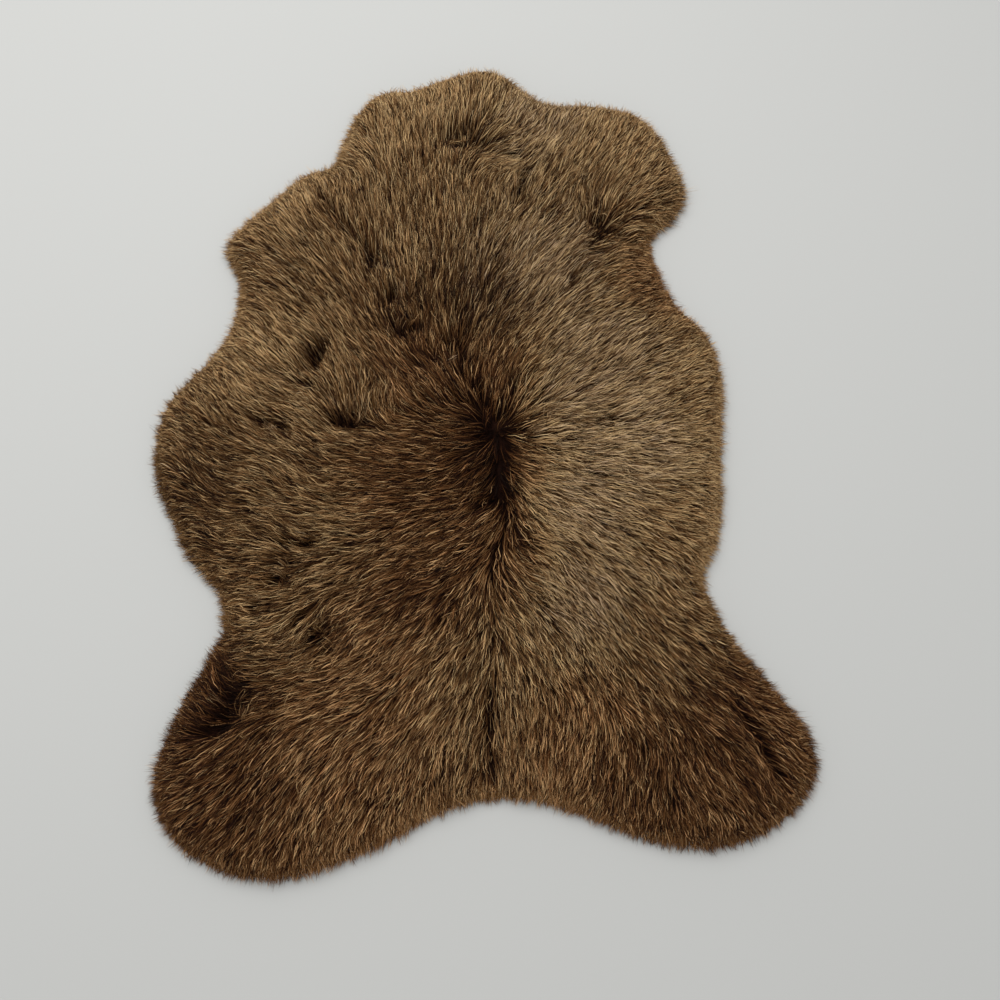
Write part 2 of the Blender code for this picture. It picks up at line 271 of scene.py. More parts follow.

# Lines where the wool parts or breaks, from end to end. A lock that would cross one stops at it, as
# often as its hold says.
# A parting's darkening is painted shade, down in the parting.
PARTINGS = (
    # name, its two ends, reach to each side, push away, depth, painted shade, hold
    ("nape_cleft", (-0.032, 0.388), (0.000, 0.396), 0.008, 0.3, 0.008, 0.20, 1.0),
    ("nape_fold", (-0.024, 0.380), (0.022, 0.376), 0.008, 0.2, 0.004, 0.10, 0.8),
    ("neck_crease", (0.000, 0.368), (0.074, 0.353), 0.008, 0.1, 0.003, 0.05, 0.7),
    ("neck_right_crease", (0.067, 0.331), (0.055, 0.284), 0.010, 0.2, 0.003, 0.06, 0.6),
    ("elbow_right_crease", (0.149, 0.268), (0.200, 0.240), 0.009, 0.3, 0.005, 0.08, 0.8),
    ("elbow_right_fold", (0.152, 0.248), (0.150, 0.224), 0.008, 0.2, 0.004, 0.06, 0.9),
    ("fore_left_crease", (-0.185, 0.295), (-0.112, 0.209), 0.013, 0.2, 0.004, 0.10, 0.3),
    ("shoulder_left_tuft", (-0.104, 0.157), (-0.089, 0.163), 0.007, 0.2, 0.006, 0.08, 0.9),
    ("shoulder_left_fold", (-0.094, 0.114), (-0.070, 0.118), 0.008, 0.3, 0.006, 0.10, 0.9),
    ("shoulder_slit", (-0.177, 0.100), (-0.188, 0.073), 0.0055, 0.6, 0.014, 0.36, 1.0),
    ("slit_foot", (-0.188, 0.073), (-0.205, 0.062), 0.006, 0.3, 0.005, 0.08, 0.7),
    ("flank_left_tuft", (-0.160, 0.002), (-0.134, 0.003), 0.008, 0.3, 0.007, 0.12, 0.9),
    ("flank_left_swirl", (-0.246, 0.000), (-0.216, -0.006), 0.006, 0.3, 0.005, 0.07, 0.8),
    ("flank_left_curl", (-0.213, -0.147), (-0.182, -0.147), 0.007, 0.3, 0.005, 0.08, 0.8),
    ("withers_parting", (-0.028, 0.096), (0.023, 0.002), 0.014, 0.3, 0.003, 0.06, 0.3),
    ("back_whorl", (0.014, 0.017), (0.056, -0.010), 0.010, 0.4, 0.006, 0.16, 0.8),
    ("spine", (0.032, -0.010), (0.031, -0.084), 0.013, 0.4, 0.004, 0.24, 0.4),
    ("back_parting", (0.031, -0.084), (0.062, -0.150), 0.012, 0.4, 0.004, 0.10, 0.5),
    ("loin_parting", (0.046, -0.149), (0.074, -0.226), 0.010, 0.3, 0.003, 0.08, 0.4),
    ("tail_parting", (0.017, -0.312), (0.017, -0.401), 0.010, 0.3, 0.006, 0.22, 0.6),
    ("groin_left_crease", (-0.173, -0.235), (-0.156, -0.266), 0.008, 0.3, 0.005, 0.10, 0.8),
    ("hock_left_crease", (-0.300, -0.272), (-0.254, -0.324), 0.010, 0.3, 0.006, 0.14, 0.8),
    ("hock_left_fold", (-0.254, -0.324), (-0.282, -0.355), 0.010, 0.3, 0.005, 0.12, 0.8),
    ("groin_right_crease", (0.239, -0.176), (0.251, -0.203), 0.009, 0.3, 0.004, 0.10, 0.8),
    ("foot_right_cleft", (0.290, -0.335), (0.317, -0.385), 0.007, 0.4, 0.009, 0.20, 1.0),
    ("foot_right_cleft_low", (0.317, -0.385), (0.327, -0.411), 0.007, 0.4, 0.006, 0.12, 0.9),
)

# Short gaps where the locks stand apart, darkened by painted shade
PITS = (
    # name, its two ends, reach to each side, painted shade
    ("shoulder_pit", (-0.102, 0.156), (-0.090, 0.165), 0.0048, 0.22),
    ("shoulder_pit_in", (-0.085, 0.172), (-0.084, 0.182), 0.0048, 0.22),
    ("shoulder_pit_right", (-0.073, 0.157), (-0.063, 0.174), 0.0048, 0.22),
    ("shoulder_pit_high", (-0.123, 0.197), (-0.125, 0.215), 0.0048, 0.22),
    ("shoulder_pit_pale", (-0.101, 0.197), (-0.103, 0.212), 0.0048, 0.22),
    ("crook_pit", (-0.087, 0.115), (-0.077, 0.106), 0.0048, 0.22),
    ("withers_pit", (-0.049, 0.086), (-0.044, 0.073), 0.0048, 0.22),
    ("withers_pit_left", (-0.075, 0.080), (-0.066, 0.071), 0.0048, 0.22),
    ("fan_pit", (-0.160, 0.006), (-0.145, -0.003), 0.005, 0.28),
    ("fan_pit_right", (-0.141, -0.003), (-0.131, 0.000), 0.0048, 0.22),
    ("fan_pit_far", (-0.163, 0.008), (-0.156, -0.001), 0.0048, 0.22),
    ("lobe_pit", (-0.225, -0.004), (-0.214, -0.010), 0.0048, 0.22),
    ("lobe_pit_left", (-0.244, -0.012), (-0.238, -0.000), 0.0048, 0.22),
    ("arc_pit", (-0.230, 0.033), (-0.221, 0.028), 0.0048, 0.22),
    ("slit_under", (-0.207, 0.050), (-0.187, 0.048), 0.0048, 0.22),
    ("flank_pit", (-0.247, -0.038), (-0.234, -0.045), 0.0048, 0.22),
    ("flank_pit_right", (-0.188, -0.052), (-0.177, -0.058), 0.0048, 0.22),
    ("belly_pit", (-0.213, -0.161), (-0.204, -0.168), 0.0048, 0.22),
    ("belly_pit_up", (-0.192, -0.148), (-0.181, -0.141), 0.0048, 0.22),
    ("belly_pit_right", (-0.195, -0.176), (-0.176, -0.166), 0.0048, 0.22),
    ("belly_pit_in", (-0.211, -0.183), (-0.207, -0.192), 0.0048, 0.22),
    ("belly_pit_left", (-0.229, -0.194), (-0.216, -0.186), 0.0048, 0.22),
    ("belly_pit_low", (-0.245, -0.220), (-0.220, -0.215), 0.0048, 0.22),
    ("groin_pit", (-0.189, -0.228), (-0.178, -0.216), 0.0048, 0.22),
    ("groin_pit_right", (-0.165, -0.236), (-0.155, -0.247), 0.0048, 0.22),
    ("groin_pit_low", (-0.183, -0.243), (-0.169, -0.251), 0.0048, 0.22),
    ("elbow_pit", (0.151, 0.269), (0.161, 0.258), 0.0048, 0.22),
    ("elbow_pit_low", (0.154, 0.247), (0.168, 0.254), 0.0048, 0.22),
    ("elbow_slit", (0.151, 0.231), (0.165, 0.241), 0.0048, 0.22),
    ("elbow_slit_low", (0.152, 0.222), (0.172, 0.229), 0.0048, 0.22),
    ("chest_pit", (0.123, 0.175), (0.129, 0.192), 0.0048, 0.22),
    ("nape_slit", (-0.030, 0.374), (0.005, 0.384), 0.005, 0.28),
    ("nape_pit", (0.034, 0.369), (0.042, 0.381), 0.0048, 0.22),
    ("neck_pit", (0.063, 0.294), (0.070, 0.332), 0.008, 0.16),
    ("neck_pit_right", (0.079, 0.339), (0.087, 0.348), 0.0048, 0.22),
    ("hock_pit", (-0.275, -0.320), (-0.265, -0.337), 0.0048, 0.22),
    ("hock_pit_high", (-0.267, -0.313), (-0.246, -0.310), 0.0048, 0.22),
    ("hock_pit_right", (-0.234, -0.364), (-0.220, -0.358), 0.0048, 0.22),
    ("hock_pit_low", (-0.273, -0.353), (-0.266, -0.345), 0.0048, 0.22),
    ("whorl_pit", (0.009, -0.010), (0.022, -0.018), 0.0048, 0.22),
    ("whorl_pit_right", (0.032, -0.015), (0.043, -0.007), 0.0048, 0.22),
    ("spine_pit_high", (0.029, -0.064), (0.036, -0.044), 0.0048, 0.22),
    ("spine_pit", (0.013, -0.093), (0.054, -0.086), 0.012, 0.24),
    ("loin_pit_right", (0.064, -0.021), (0.080, -0.008), 0.0048, 0.22),
    ("loin_pit_far", (0.070, 0.004), (0.082, 0.009), 0.0048, 0.22),
)

# Tufts that curl or stand out over the rest: their roots, the way they head there, how far they turn
# from root to tip, in degrees to the left, their length, how light they are and their hue
TUFTS = (
    # name, x, y, heading, turn, length, lightness, hue
    ("shoulder_curl", -0.098, 0.153, 17, 110, 0.038, 0.75, 0.35),
    ("shoulder_curl_in", -0.095, 0.150, 20, 99, 0.035, 0.60, 0.35),
    ("shoulder_finger", -0.079, 0.154, 40, 32, 0.025, 0.58, 0.40),
    ("shoulder_finger_far", -0.075, 0.153, 45, 45, 0.031, 0.50, 0.40),
    ("shoulder_gold", -0.073, 0.170, 66, 69, 0.035, 0.72, 0.75),
    ("shoulder_gold_left", -0.082, 0.176, 96, 12, 0.036, 0.60, 0.60),
    ("shoulder_pale", -0.095, 0.189, 98, 4, 0.029, 0.70, 0.30),
    ("shoulder_left_1", -0.105, 0.154, 110, 9, 0.027, 0.66, 0.40),
    ("shoulder_left_2", -0.103, 0.185, 110, 6, 0.025, 0.72, 0.40),
    ("shoulder_left_3", -0.096, 0.170, 103, 19, 0.029, 0.60, 0.50),
    ("crook_pale", -0.088, 0.112, 93, -18, 0.028, 0.62, 0.35),
    ("crook_right", -0.082, 0.113, 96, -44, 0.026, 0.52, 0.35),
    ("crook_diagonal", -0.080, 0.121, 45, -8, 0.024, 0.60, 0.70),
    ("crook_under", -0.077, 0.102, 8, 48, 0.025, 0.42, 0.40),
    ("crook_left", -0.090, 0.102, 127, -13, 0.027, 0.52, 0.40),
    ("withers_1", -0.038, 0.073, 27, 17, 0.024, 0.60, 0.20),
    ("withers_2", -0.035, 0.068, 40, -9, 0.025, 0.64, 0.20),
    ("fan_1", -0.158, -0.002, 114, 21, 0.045, 0.64, 0.40),
    ("fan_2", -0.154, 0.004, 107, 20, 0.038, 0.68, 0.40),
    ("fan_3", -0.151, 0.003, 97, 16, 0.033, 0.64, 0.40),
    ("fan_4", -0.145, 0.001, 79, 19, 0.033, 0.68, 0.40),
    ("fan_5", -0.139, 0.002, 51, 67, 0.031, 0.66, 0.45),
    ("fan_6", -0.140, 0.001, 14, 112, 0.038, 0.72, 0.40),
    ("fan_curl", -0.139, -0.003, 0, 113, 0.020, 0.70, 0.35),
    ("fan_low_1", -0.142, -0.014, -175, -7, 0.042, 0.62, 0.45),
    ("fan_low_2", -0.133, -0.032, 118, 76, 0.031, 0.68, 0.45),
    ("lobe_1", -0.199, -0.020, 81, 90, 0.034, 0.68, 0.45),
    ("lobe_2", -0.208, -0.016, 65, 109, 0.022, 0.62, 0.45),
    ("lobe_3", -0.223, -0.017, 134, 0, 0.019, 0.64, 0.30),
    ("lobe_4", -0.235, -0.020, 142, -100, 0.022, 0.62, 0.40),
    ("lobe_5", -0.229, -0.016, 144, -109, 0.015, 0.62, 0.30),
    ("arc_1", -0.184, 0.037, 127, 100, 0.030, 0.62, 0.35),
    ("arc_2", -0.188, 0.031, 121, 114, 0.029, 0.58, 0.35),
    ("arc_3", -0.180, 0.018, 133, 86, 0.024, 0.72, 0.30),
    ("arc_4", -0.196, 0.026, 159, 60, 0.024, 0.56, 0.50),
    ("belly_hook_1", -0.210, -0.191, 89, 93, 0.023, 0.70, 0.35),
    ("belly_hook_2", -0.205, -0.185, 103, 66, 0.029, 0.68, 0.35),
    ("belly_hook_3", -0.202, -0.188, 115, 10, 0.031, 0.62, 0.40),
    ("belly_hook_4", -0.210, -0.207, 112, -8, 0.020, 0.50, 0.80),
    ("belly_hook_5", -0.175, -0.208, -183, 85, 0.017, 0.72, 0.40),
    ("groin_1", -0.180, -0.240, -125, -17, 0.021, 0.68, 0.35),
    ("groin_2", -0.167, -0.238, 137, 12, 0.017, 0.60, 0.50),
    ("groin_3", -0.166, -0.246, 149, -12, 0.017, 0.62, 0.50),
    ("groin_4", -0.154, -0.252, 71, 18, 0.017, 0.60, 0.50),
    ("groin_5", -0.146, -0.248, 63, 7, 0.016, 0.62, 0.40),
    ("groin_6", -0.153, -0.267, 136, 17, 0.021, 0.56, 0.50),
    ("groin_7", -0.180, -0.160, -149, -14, 0.025, 0.52, 0.40),
    ("groin_8", -0.178, -0.164, -153, -8, 0.027, 0.54, 0.40),
    ("elbow_swirl", 0.156, 0.258, 153, -127, 0.033, 0.70, 0.40),
    ("elbow_swirl_in", 0.154, 0.265, 142, -144, 0.024, 0.58, 0.40),
    ("elbow_inner", 0.158, 0.269, 84, -122, 0.019, 0.62, 0.45),
    ("elbow_left", 0.133, 0.282, 100, -168, 0.025, 0.68, 0.45),
    ("elbow_band", 0.152, 0.227, 19, -6, 0.023, 0.74, 0.40),
    ("elbow_right", 0.169, 0.252, 48, -87, 0.028, 0.62, 0.40),
    ("nape_lip", -0.037, 0.371, 60, -83, 0.045, 0.74, 0.50),
    ("nape_in_1", -0.016, 0.352, 112, -6, 0.026, 0.52, 0.10),
    ("nape_in_2", -0.013, 0.346, 106, -7, 0.028, 0.55, 0.10),
    ("nape_in_3", -0.023, 0.353, 118, -19, 0.023, 0.52, 0.10),
    ("nape_flow_1", -0.013, 0.367, 15, -14, 0.036, 0.64, 0.40),
    ("nape_flow_2", 0.000, 0.362, -43, 45, 0.047, 0.70, 0.35),
    ("nape_flow_3", 0.009, 0.362, -30, 48, 0.042, 0.70, 0.35),
    ("nape_flow_4", 0.034, 0.344, -7, 30, 0.035, 0.72, 0.35),
    ("nape_flow_5", 0.016, 0.372, -38, 86, 0.045, 0.64, 0.40),
    ("nape_flow_6", 0.036, 0.332, -8, 48, 0.023, 0.72, 0.35),
    ("hock_gold_1", -0.250, -0.347, 82, -20, 0.027, 0.64, 0.45),
    ("hock_gold_2", -0.248, -0.342, 126, -67, 0.022, 0.62, 0.45),
    ("hock_gold_3", -0.260, -0.323, 55, -18, 0.020, 0.66, 0.45),
    ("hock_gold_4", -0.244, -0.338, 85, -52, 0.020, 0.56, 0.45),
    ("hock_white_1", -0.264, -0.327, 143, -6, 0.032, 0.58, 0.30),
    ("hock_white_2", -0.278, -0.327, 128, 12, 0.027, 0.62, 0.40),
    ("hock_fold", -0.241, -0.366, 108, 43, 0.017, 0.60, 0.55),
    ("thatch_1", -0.282, -0.306, 126, -19, 0.034, 0.62, 0.90),
    ("thatch_2", -0.276, -0.308, 122, -13, 0.034, 0.62, 0.90),
    ("whorl_1", 0.086, -0.010, 77, -12, 0.028, 0.76, 0.30),
    ("whorl_2", 0.058, -0.013, 17, -11, 0.030, 0.72, 0.30),
    ("whorl_3", 0.065, -0.019, 24, -16, 0.035, 0.72, 0.30),
    ("whorl_4", 0.040, -0.044, -30, 5, 0.022, 0.60, 0.50),
    ("whorl_5", 0.028, -0.012, 67, -27, 0.030, 0.52, 0.60),
    ("whorl_6", 0.017, -0.009, 100, -41, 0.030, 0.44, 0.80),
)

# How light the wool's outside is, from its darkest to its palest, and its hue
DEEP, DARK, BROWN, LIGHT, PALE = 0.15, 0.30, 0.45, 0.60, 0.75
GREYISH, GOLDEN, REDDISH = 0.35, 0.55, 0.75

# The lightness and hue given to the wool, area by area, as judged
PATCHES = (
    # name, x, y, lightness, hue
    ("crest", -0.02, 0.46, LIGHT, GOLDEN),
    ("neck_left", -0.12, 0.42, LIGHT, GOLDEN),
    ("neck_middle", -0.04, 0.33, BROWN, GOLDEN),
    ("neck_right", 0.09, 0.40, LIGHT, GREYISH),
    ("arm_right", 0.19, 0.38, LIGHT, GOLDEN),
    ("arm_right_inner", 0.15, 0.29, BROWN, GOLDEN),
    ("arm_left", -0.24, 0.31, LIGHT, GOLDEN),
    ("shoulder_left", -0.16, 0.26, BROWN, GOLDEN),
    ("shoulder_left_low", -0.24, 0.19, BROWN, GOLDEN),
    ("withers", -0.07, 0.24, BROWN, GOLDEN),
    ("chest_right", 0.10, 0.21, LIGHT, GREYISH),
    ("shoulder_right", 0.21, 0.18, BROWN, REDDISH),
    ("saddle", 0.01, 0.16, DARK, GREYISH),
    ("rib_right", 0.15, 0.09, LIGHT, GREYISH),
    ("back_right", 0.09, 0.02, LIGHT, GREYISH),
    ("flank_right", 0.19, -0.02, PALE, GREYISH),
    ("rim_right", 0.26, 0.01, LIGHT, GOLDEN),
    ("whorl", 0.02, 0.03, DARK, REDDISH),
    ("spine", 0.01, -0.05, DEEP, REDDISH),
    ("spine_low", 0.01, -0.13, DARK, REDDISH),
    ("withers_low", -0.05, 0.14, DARK, GOLDEN),
    ("back_left", -0.06, 0.06, DARK, REDDISH),
    ("back_left_low", -0.07, -0.08, DARK, REDDISH),
    ("rib_left", -0.15, 0.03, BROWN, GOLDEN),
    ("flank_left_high", -0.25, 0.09, LIGHT, GOLDEN),
    ("flank_left", -0.23, -0.05, BROWN, GOLDEN),
    ("rim_left", -0.34, 0.02, BROWN, GOLDEN),
    ("rim_left_low", -0.32, -0.07, DARK, GOLDEN),
    ("loin_left", -0.15, -0.14, BROWN, GOLDEN),
    ("loin_left_inner", -0.06, -0.20, DARK, REDDISH),
    ("loin_right", 0.11, -0.09, PALE, GREYISH),
    ("loin_right_low", 0.11, -0.20, LIGHT, GREYISH),
    ("flank_right_low", 0.22, -0.13, LIGHT, GOLDEN),
    ("haunch_right", 0.21, -0.25, BROWN, GOLDEN),
    ("rump", 0.02, -0.28, BROWN, GOLDEN),
    ("rump_left", -0.10, -0.28, BROWN, REDDISH),
    ("rump_right", 0.12, -0.34, BROWN, REDDISH),
    ("haunch_left", -0.22, -0.24, BROWN, GOLDEN),
    ("hock_left", -0.29, -0.30, DEEP, REDDISH),
    ("haunch_left_low", -0.15, -0.37, BROWN, REDDISH),
    ("foot_left", -0.27, -0.40, DARK, REDDISH),
    ("foot_right", 0.28, -0.34, DARK, REDDISH),
    ("foot_right_low", 0.22, -0.41, DARK, REDDISH),
)

# The pieces that the wool is made in, each with the locks whose roots are nearest to its middle
WOOL_PIECES = (
    # name, x, y of its middle
    ("wool_neck", -0.030, 0.370),
    ("wool_shoulder_right", 0.160, 0.290),
    ("wool_shoulder_left", -0.190, 0.210),
    ("wool_back", 0.020, 0.110),
    ("wool_flank_right", 0.180, -0.060),
    ("wool_flank_left", -0.240, -0.050),
    ("wool_loin", -0.030, -0.130),
    ("wool_hind_right", 0.230, -0.350),
    ("wool_hind_left", -0.220, -0.370),
    ("wool_tail", 0.020, -0.330),
)


class SheepskinWool(bpy.types.PropertyGroup):
    """The sizes of the locks and of their strands."""

    lock_pitch: bpy.props.FloatProperty(
        name="Lock pitch", description="How far apart the roots of two locks are",
        default=0.0040, min=0.003, max=0.03, unit="LENGTH")
    lock_length: bpy.props.FloatProperty(
        name="Lock length", description="From a lock's root to its tip",
        default=0.037, min=0.01, max=0.08, unit="LENGTH")
    lock_width: bpy.props.FloatProperty(
        name="Lock width", description="How wide a lock is at its root",
        default=0.0036, min=0.002, max=0.03, unit="LENGTH")
    lock_pinch: bpy.props.FloatProperty(
        name="Lock pinch", description="How far a lock's strands close up towards its tip",
        default=0.47, min=0, max=1, subtype="FACTOR")
    strands: bpy.props.IntProperty(
        name="Strands", description="How many strands there are in a lock",
        default=4, min=1, max=40)
    strand_width: bpy.props.FloatProperty(
        name="Strand width", description="A strand's width where it is widest",
        default=0.00064, min=0.0002, max=0.003, unit="LENGTH")
    wave_height: bpy.props.FloatProperty(
        name="Wave height", description="How far a strand swings to each side of its line",
        default=0.0012, min=0, max=0.005, unit="LENGTH")
    wave_length: bpy.props.FloatProperty(
        name="Wave length", description="The length of one wave along a strand",
        default=0.017, min=0.005, max=0.05, unit="LENGTH")
    fringe_pitch: bpy.props.FloatProperty(
        name="Fringe pitch", description="How far apart the roots of two groups of fringe strands are",
        default=0.0034, min=0.002, max=0.02, unit="LENGTH")
    fringe_strands: bpy.props.IntProperty(
        name="Fringe strands", description="How many strands there are in a group of the fringe",
        default=8, min=1, max=20)
    fringe_reach: bpy.props.FloatProperty(
        name="Fringe reach", description="How far the longest fringe strands reach past the wool's edge",
        default=0.013, min=0, max=0.02, unit="LENGTH")
    tuft_strands: bpy.props.IntProperty(
        name="Tuft strands", description="How many strands there are in a tuft",
        default=10, min=2, max=60)
    tuft_width: bpy.props.FloatProperty(
        name="Tuft width", description="How wide a tuft is where it is widest",
        default=0.0040, min=0.001, max=0.02, unit="LENGTH")


class SheepskinColours(bpy.types.PropertyGroup):
    """The colours of the wool and of the skin, in linear light."""

    # The darkest stop of the ramps: the near-black that the roots, partings, pits and under wool reach
    # through painted shade
    root: bpy.props.FloatVectorProperty(
        name="Wool at the root", description="The darkest wool, deep in a parting",
        default=(0.007, 0.0038, 0.0030), size=3, min=0, max=1, subtype="COLOR")
    dark: bpy.props.FloatVectorProperty(
        name="Dark wool", description="The dark brown wool along the spine",
        default=(0.0262, 0.0094, 0.0054), size=3, min=0, max=1, subtype="COLOR")
    brown: bpy.props.FloatVectorProperty(
        name="Brown wool", description="The brown wool of the left side",
        default=(0.115, 0.0545, 0.0208), size=3, min=0, max=1, subtype="COLOR")
    tan: bpy.props.FloatVectorProperty(
        name="Tan wool", description="The light brown wool of the right side",
        default=(0.284, 0.161, 0.079), size=3, min=0, max=1, subtype="COLOR")
    # Sun-bleached tips, lighter still with a painted sheen
    tip: bpy.props.FloatVectorProperty(
        name="Bleached tips", description="The lightest tips, bleached by the sun",
        default=(0.700, 0.475, 0.270), size=3, min=0, max=1, subtype="COLOR")
    grey_tint: bpy.props.FloatVectorProperty(
        name="Grey tint", description="What the greyish wool is multiplied by",
        default=(0.93, 1.0, 1.22), size=3, min=0, max=2, subtype="COLOR")
    gold_tint: bpy.props.FloatVectorProperty(
        name="Golden tint", description="What the golden brown wool is multiplied by",
        default=(0.99, 1.0, 0.84), size=3, min=0, max=2, subtype="COLOR")
    red_tint: bpy.props.FloatVectorProperty(
        name="Red tint", description="What the reddish wool is multiplied by",
        default=(1.15, 0.87, 0.66), size=3, min=0, max=2, subtype="COLOR")
    skin: bpy.props.FloatVectorProperty(
        name="Skin", description="The tanned skin's flesh side",
        default=(0.60, 0.50, 0.37), size=3, min=0, max=1, subtype="COLOR")
    skin_stain: bpy.props.FloatVectorProperty(
        name="Skin stain", description="The darker blotches of the tanned skin",
        default=(0.47, 0.37, 0.25), size=3, min=0, max=1, subtype="COLOR")


class SheepskinStudio(bpy.types.PropertyGroup):
    """The floor, the lamps and the camera."""

    floor_side: bpy.props.FloatProperty(
        name="Floor side", description="The length of the square floor's side",
        default=20.0, min=2, max=50, unit="LENGTH")
    floor_colour: bpy.props.FloatVectorProperty(
        name="Floor colour", description="The plain pale floor",
        default=(0.540, 0.540, 0.520), size=3, min=0, max=1, subtype="COLOR")
    lamp_side: bpy.props.FloatProperty(
        name="Lamp side", description="The side of the square soft lamp overhead",
        default=2.4, min=0.2, max=6, unit="LENGTH")
    lamp_power: bpy.props.FloatProperty(
        name="Lamp power", description="The soft lamp's power",
        default=46.0, min=0, max=500, unit="POWER")
    lamp_place: bpy.props.FloatVectorProperty(
        name="Lamp place", description="Where the soft lamp hangs; it points at the skin",
        default=(-0.5, 1.0, 2.2), size=3, subtype="TRANSLATION", unit="LENGTH")
    sky: bpy.props.FloatVectorProperty(
        name="Sky colour", description="The light that comes from all round",
        default=(0.98, 0.99, 1.0), size=3, min=0, max=1, subtype="COLOR")
    sky_strength: bpy.props.FloatProperty(
        name="Sky strength", description="How strong the light from all round is",
        default=0.62, min=0, max=5)
    camera_place: bpy.props.FloatVectorProperty(
        name="Camera place", description="Where the camera stands",
        default=(-0.0029, -0.4064, 1.1377), size=3, subtype="TRANSLATION", unit="LENGTH")
    camera_tilt: bpy.props.FloatProperty(
        name="Camera tilt", description="How far the camera looks up from straight down",
        default=math.radians(15.74), subtype="ANGLE")
    camera_roll: bpy.props.FloatProperty(
        name="Camera roll", description="How far the camera leans to its side",
        default=math.radians(-5.56), subtype="ANGLE")
    camera_turn: bpy.props.FloatProperty(
        name="Camera turn", description="How far the camera is turned about the vertical",
        default=math.radians(-6.25), subtype="ANGLE")
    lens: bpy.props.FloatProperty(
        name="Lens", description="The camera's focal length in millimetres, on a 36 mm sensor",
        default=36.0, min=10, max=200)


class Net:
    """Values on the knots of a square net, read anywhere by straight blending between four knots."""

    def __init__(self, low, high, pitch):
        self.low, self.pitch = np.asarray(low), pitch
        self.shape = np.ceil((np.asarray(high) - low) / pitch).astype(int) + 1
        self.knots = self.low + np.indices(self.shape).reshape(2, -1).T * pitch

    def read(self, values, points):
        """The values at the points: the sum over the four knots round each of the knot's value times
        its nearness along x times its nearness along y."""
        grid = np.asarray(values, float).reshape(*self.shape, -1)
        place = (points - self.low) / self.pitch
        x, y = np.clip(np.floor(place).astype(int), 0, self.shape - 2).T
        u, v = np.clip(place.T - (x, y), 0, 1)[..., None]
        near = grid[x, y] * (1 - u) + grid[x + 1, y] * u
        far = grid[x, y + 1] * (1 - u) + grid[x + 1, y + 1] * u
        found = near * (1 - v) + far * v
        return found[:, 0] if found.shape[1] == 1 else found


def in_chunks(work, points, size=4000):
    """What work gives for the points, a few thousand at a time, so that no array grows too large."""
    return np.concatenate([work(points[i : i + size]) for i in range(0, len(points), size)])


def squared_off(points, places):
    """The squared distance from each point to each place, as |p|² + |q|² - 2 p.q."""
    both = (points**2).sum(axis=1)[:, None] + (places**2).sum(axis=1)
    return np.maximum(both - 2 * points @ places.T, 0)


def nearest(points, places):
    """The number of the place that is nearest to each point."""
    return in_chunks(lambda some: squared_off(some, places).argmin(axis=1), points)


def spread(points, places, values, softness, power):
    """Values carried from places to points, weighed by 1 / (distance² + softness²) to the power."""

    def weighed(some):
        weight = 1 / (squared_off(some, places) + softness**2) ** power
        return weight @ values / weight.sum(axis=1)[:, None]

    return in_chunks(weighed, points)


def ripple(points, scale, seed):
    """Smooth noise from -1 to 1: random values on a net of this scale, blended by 3t² - 2t³."""
    lattice = np.random.default_rng(seed).uniform(-1, 1, (97, 97))
    place = points / scale + 48.5
    x, y = np.floor(place).astype(int).T
    share = place.T - (x, y)
    u, v = share * share * (3 - 2 * share)
    x, y = x % 96, y % 96
    near = lattice[x, y] * (1 - u) + lattice[x + 1, y] * u
    far = lattice[x, y + 1] * (1 - u) + lattice[x + 1, y + 1] * u
    return near * (1 - v) + far * v


def unit(vectors):
    """The vectors at length 1."""
    return vectors / np.maximum(np.linalg.norm(vectors, axis=-1, keepdims=True), 1e-12)


def sideways(vectors):
    """Flat vectors turned a quarter to the left."""
    return np.stack([-vectors[..., 1], vectors[..., 0]], axis=-1)


def headings(degrees):
    """Unit vectors for angles in degrees: cosine and sine."""
    angles = np.radians(degrees)
    return np.stack([np.cos(angles), np.sin(angles)], axis=-1)


def packed_triangles(node):
    """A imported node's triangles: an array of triangle, corner and coordinate."""
    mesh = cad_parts[node].data
    mesh.calc_loop_triangles()
    spots = np.empty(len(mesh.vertices) * 3, np.float32)
    mesh.vertices.foreach_get("co", spots)
    corners = np.empty(len(mesh.loop_triangles) * 3, np.int32)
    mesh.loop_triangles.foreach_get("vertices", corners)
    return spots.reshape(-1, 3)[corners].reshape(-1, 3, 3).astype(float)


def underside_ring(node):
    """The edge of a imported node's flat underside, clockwise as seen from above: of the triangles that
    face straight down, the edges that none of them shares, walked from end to end."""
    triangles = packed_triangles(node)
    turned = np.cross(triangles[:, 1] - triangles[:, 0], triangles[:, 2] - triangles[:, 0])
    flat = triangles[turned[:, 2] < -0.9999 * np.linalg.norm(turned, axis=1)]
    points, index = np.unique(flat[:, :, :2].reshape(-1, 2).round(6), axis=0, return_inverse=True)
    index = index.reshape(-1, 3)
    edges = set(zip(index.ravel().tolist(), np.roll(index, -1, axis=1).ravel().tolist()))
    following = {start: end for start, end in edges if (end, start) not in edges}
    ring = [min(following)]
    while following[ring[-1]] != ring[0]:
        ring.append(following[ring[-1]])
    return points[ring]


def evenly(ring, count):
    """The ring walked in this many even steps."""
    closed = np.vstack([ring, ring[:1]])
    along = np.concatenate([[0], np.cumsum(np.linalg.norm(np.diff(closed, axis=0), axis=1))])
    places = np.arange(count) / count * along[-1]
    return np.stack([np.interp(places, along, closed[:, k]) for k in range(2)], axis=1)


def eased(ring, rounds):
    """The ring with each point moved to a quarter, a half and a quarter of it and its neighbours."""
    for _ in range(rounds):
        ring = 0.5 * ring + 0.25 * (np.roll(ring, 1, axis=0) + np.roll(ring, -1, axis=0))
    return ring


def depth_inside(net, ring):
    """How deep each knot of the net is inside the ring, and the way out to the ring's nearest point.
    Outside the ring the depth is less than nothing."""
    ring = eased(evenly(ring, RING_POINTS), RING_EASING)
    way = unit(sideways(np.roll(ring, -1, axis=0) - np.roll(ring, 1, axis=0)))
    close = nearest(net.knots, ring)
    off = net.knots - ring[close]
    side = np.sign((off * way[close]).sum(axis=1))
    return -side * np.linalg.norm(off, axis=1), way[close]


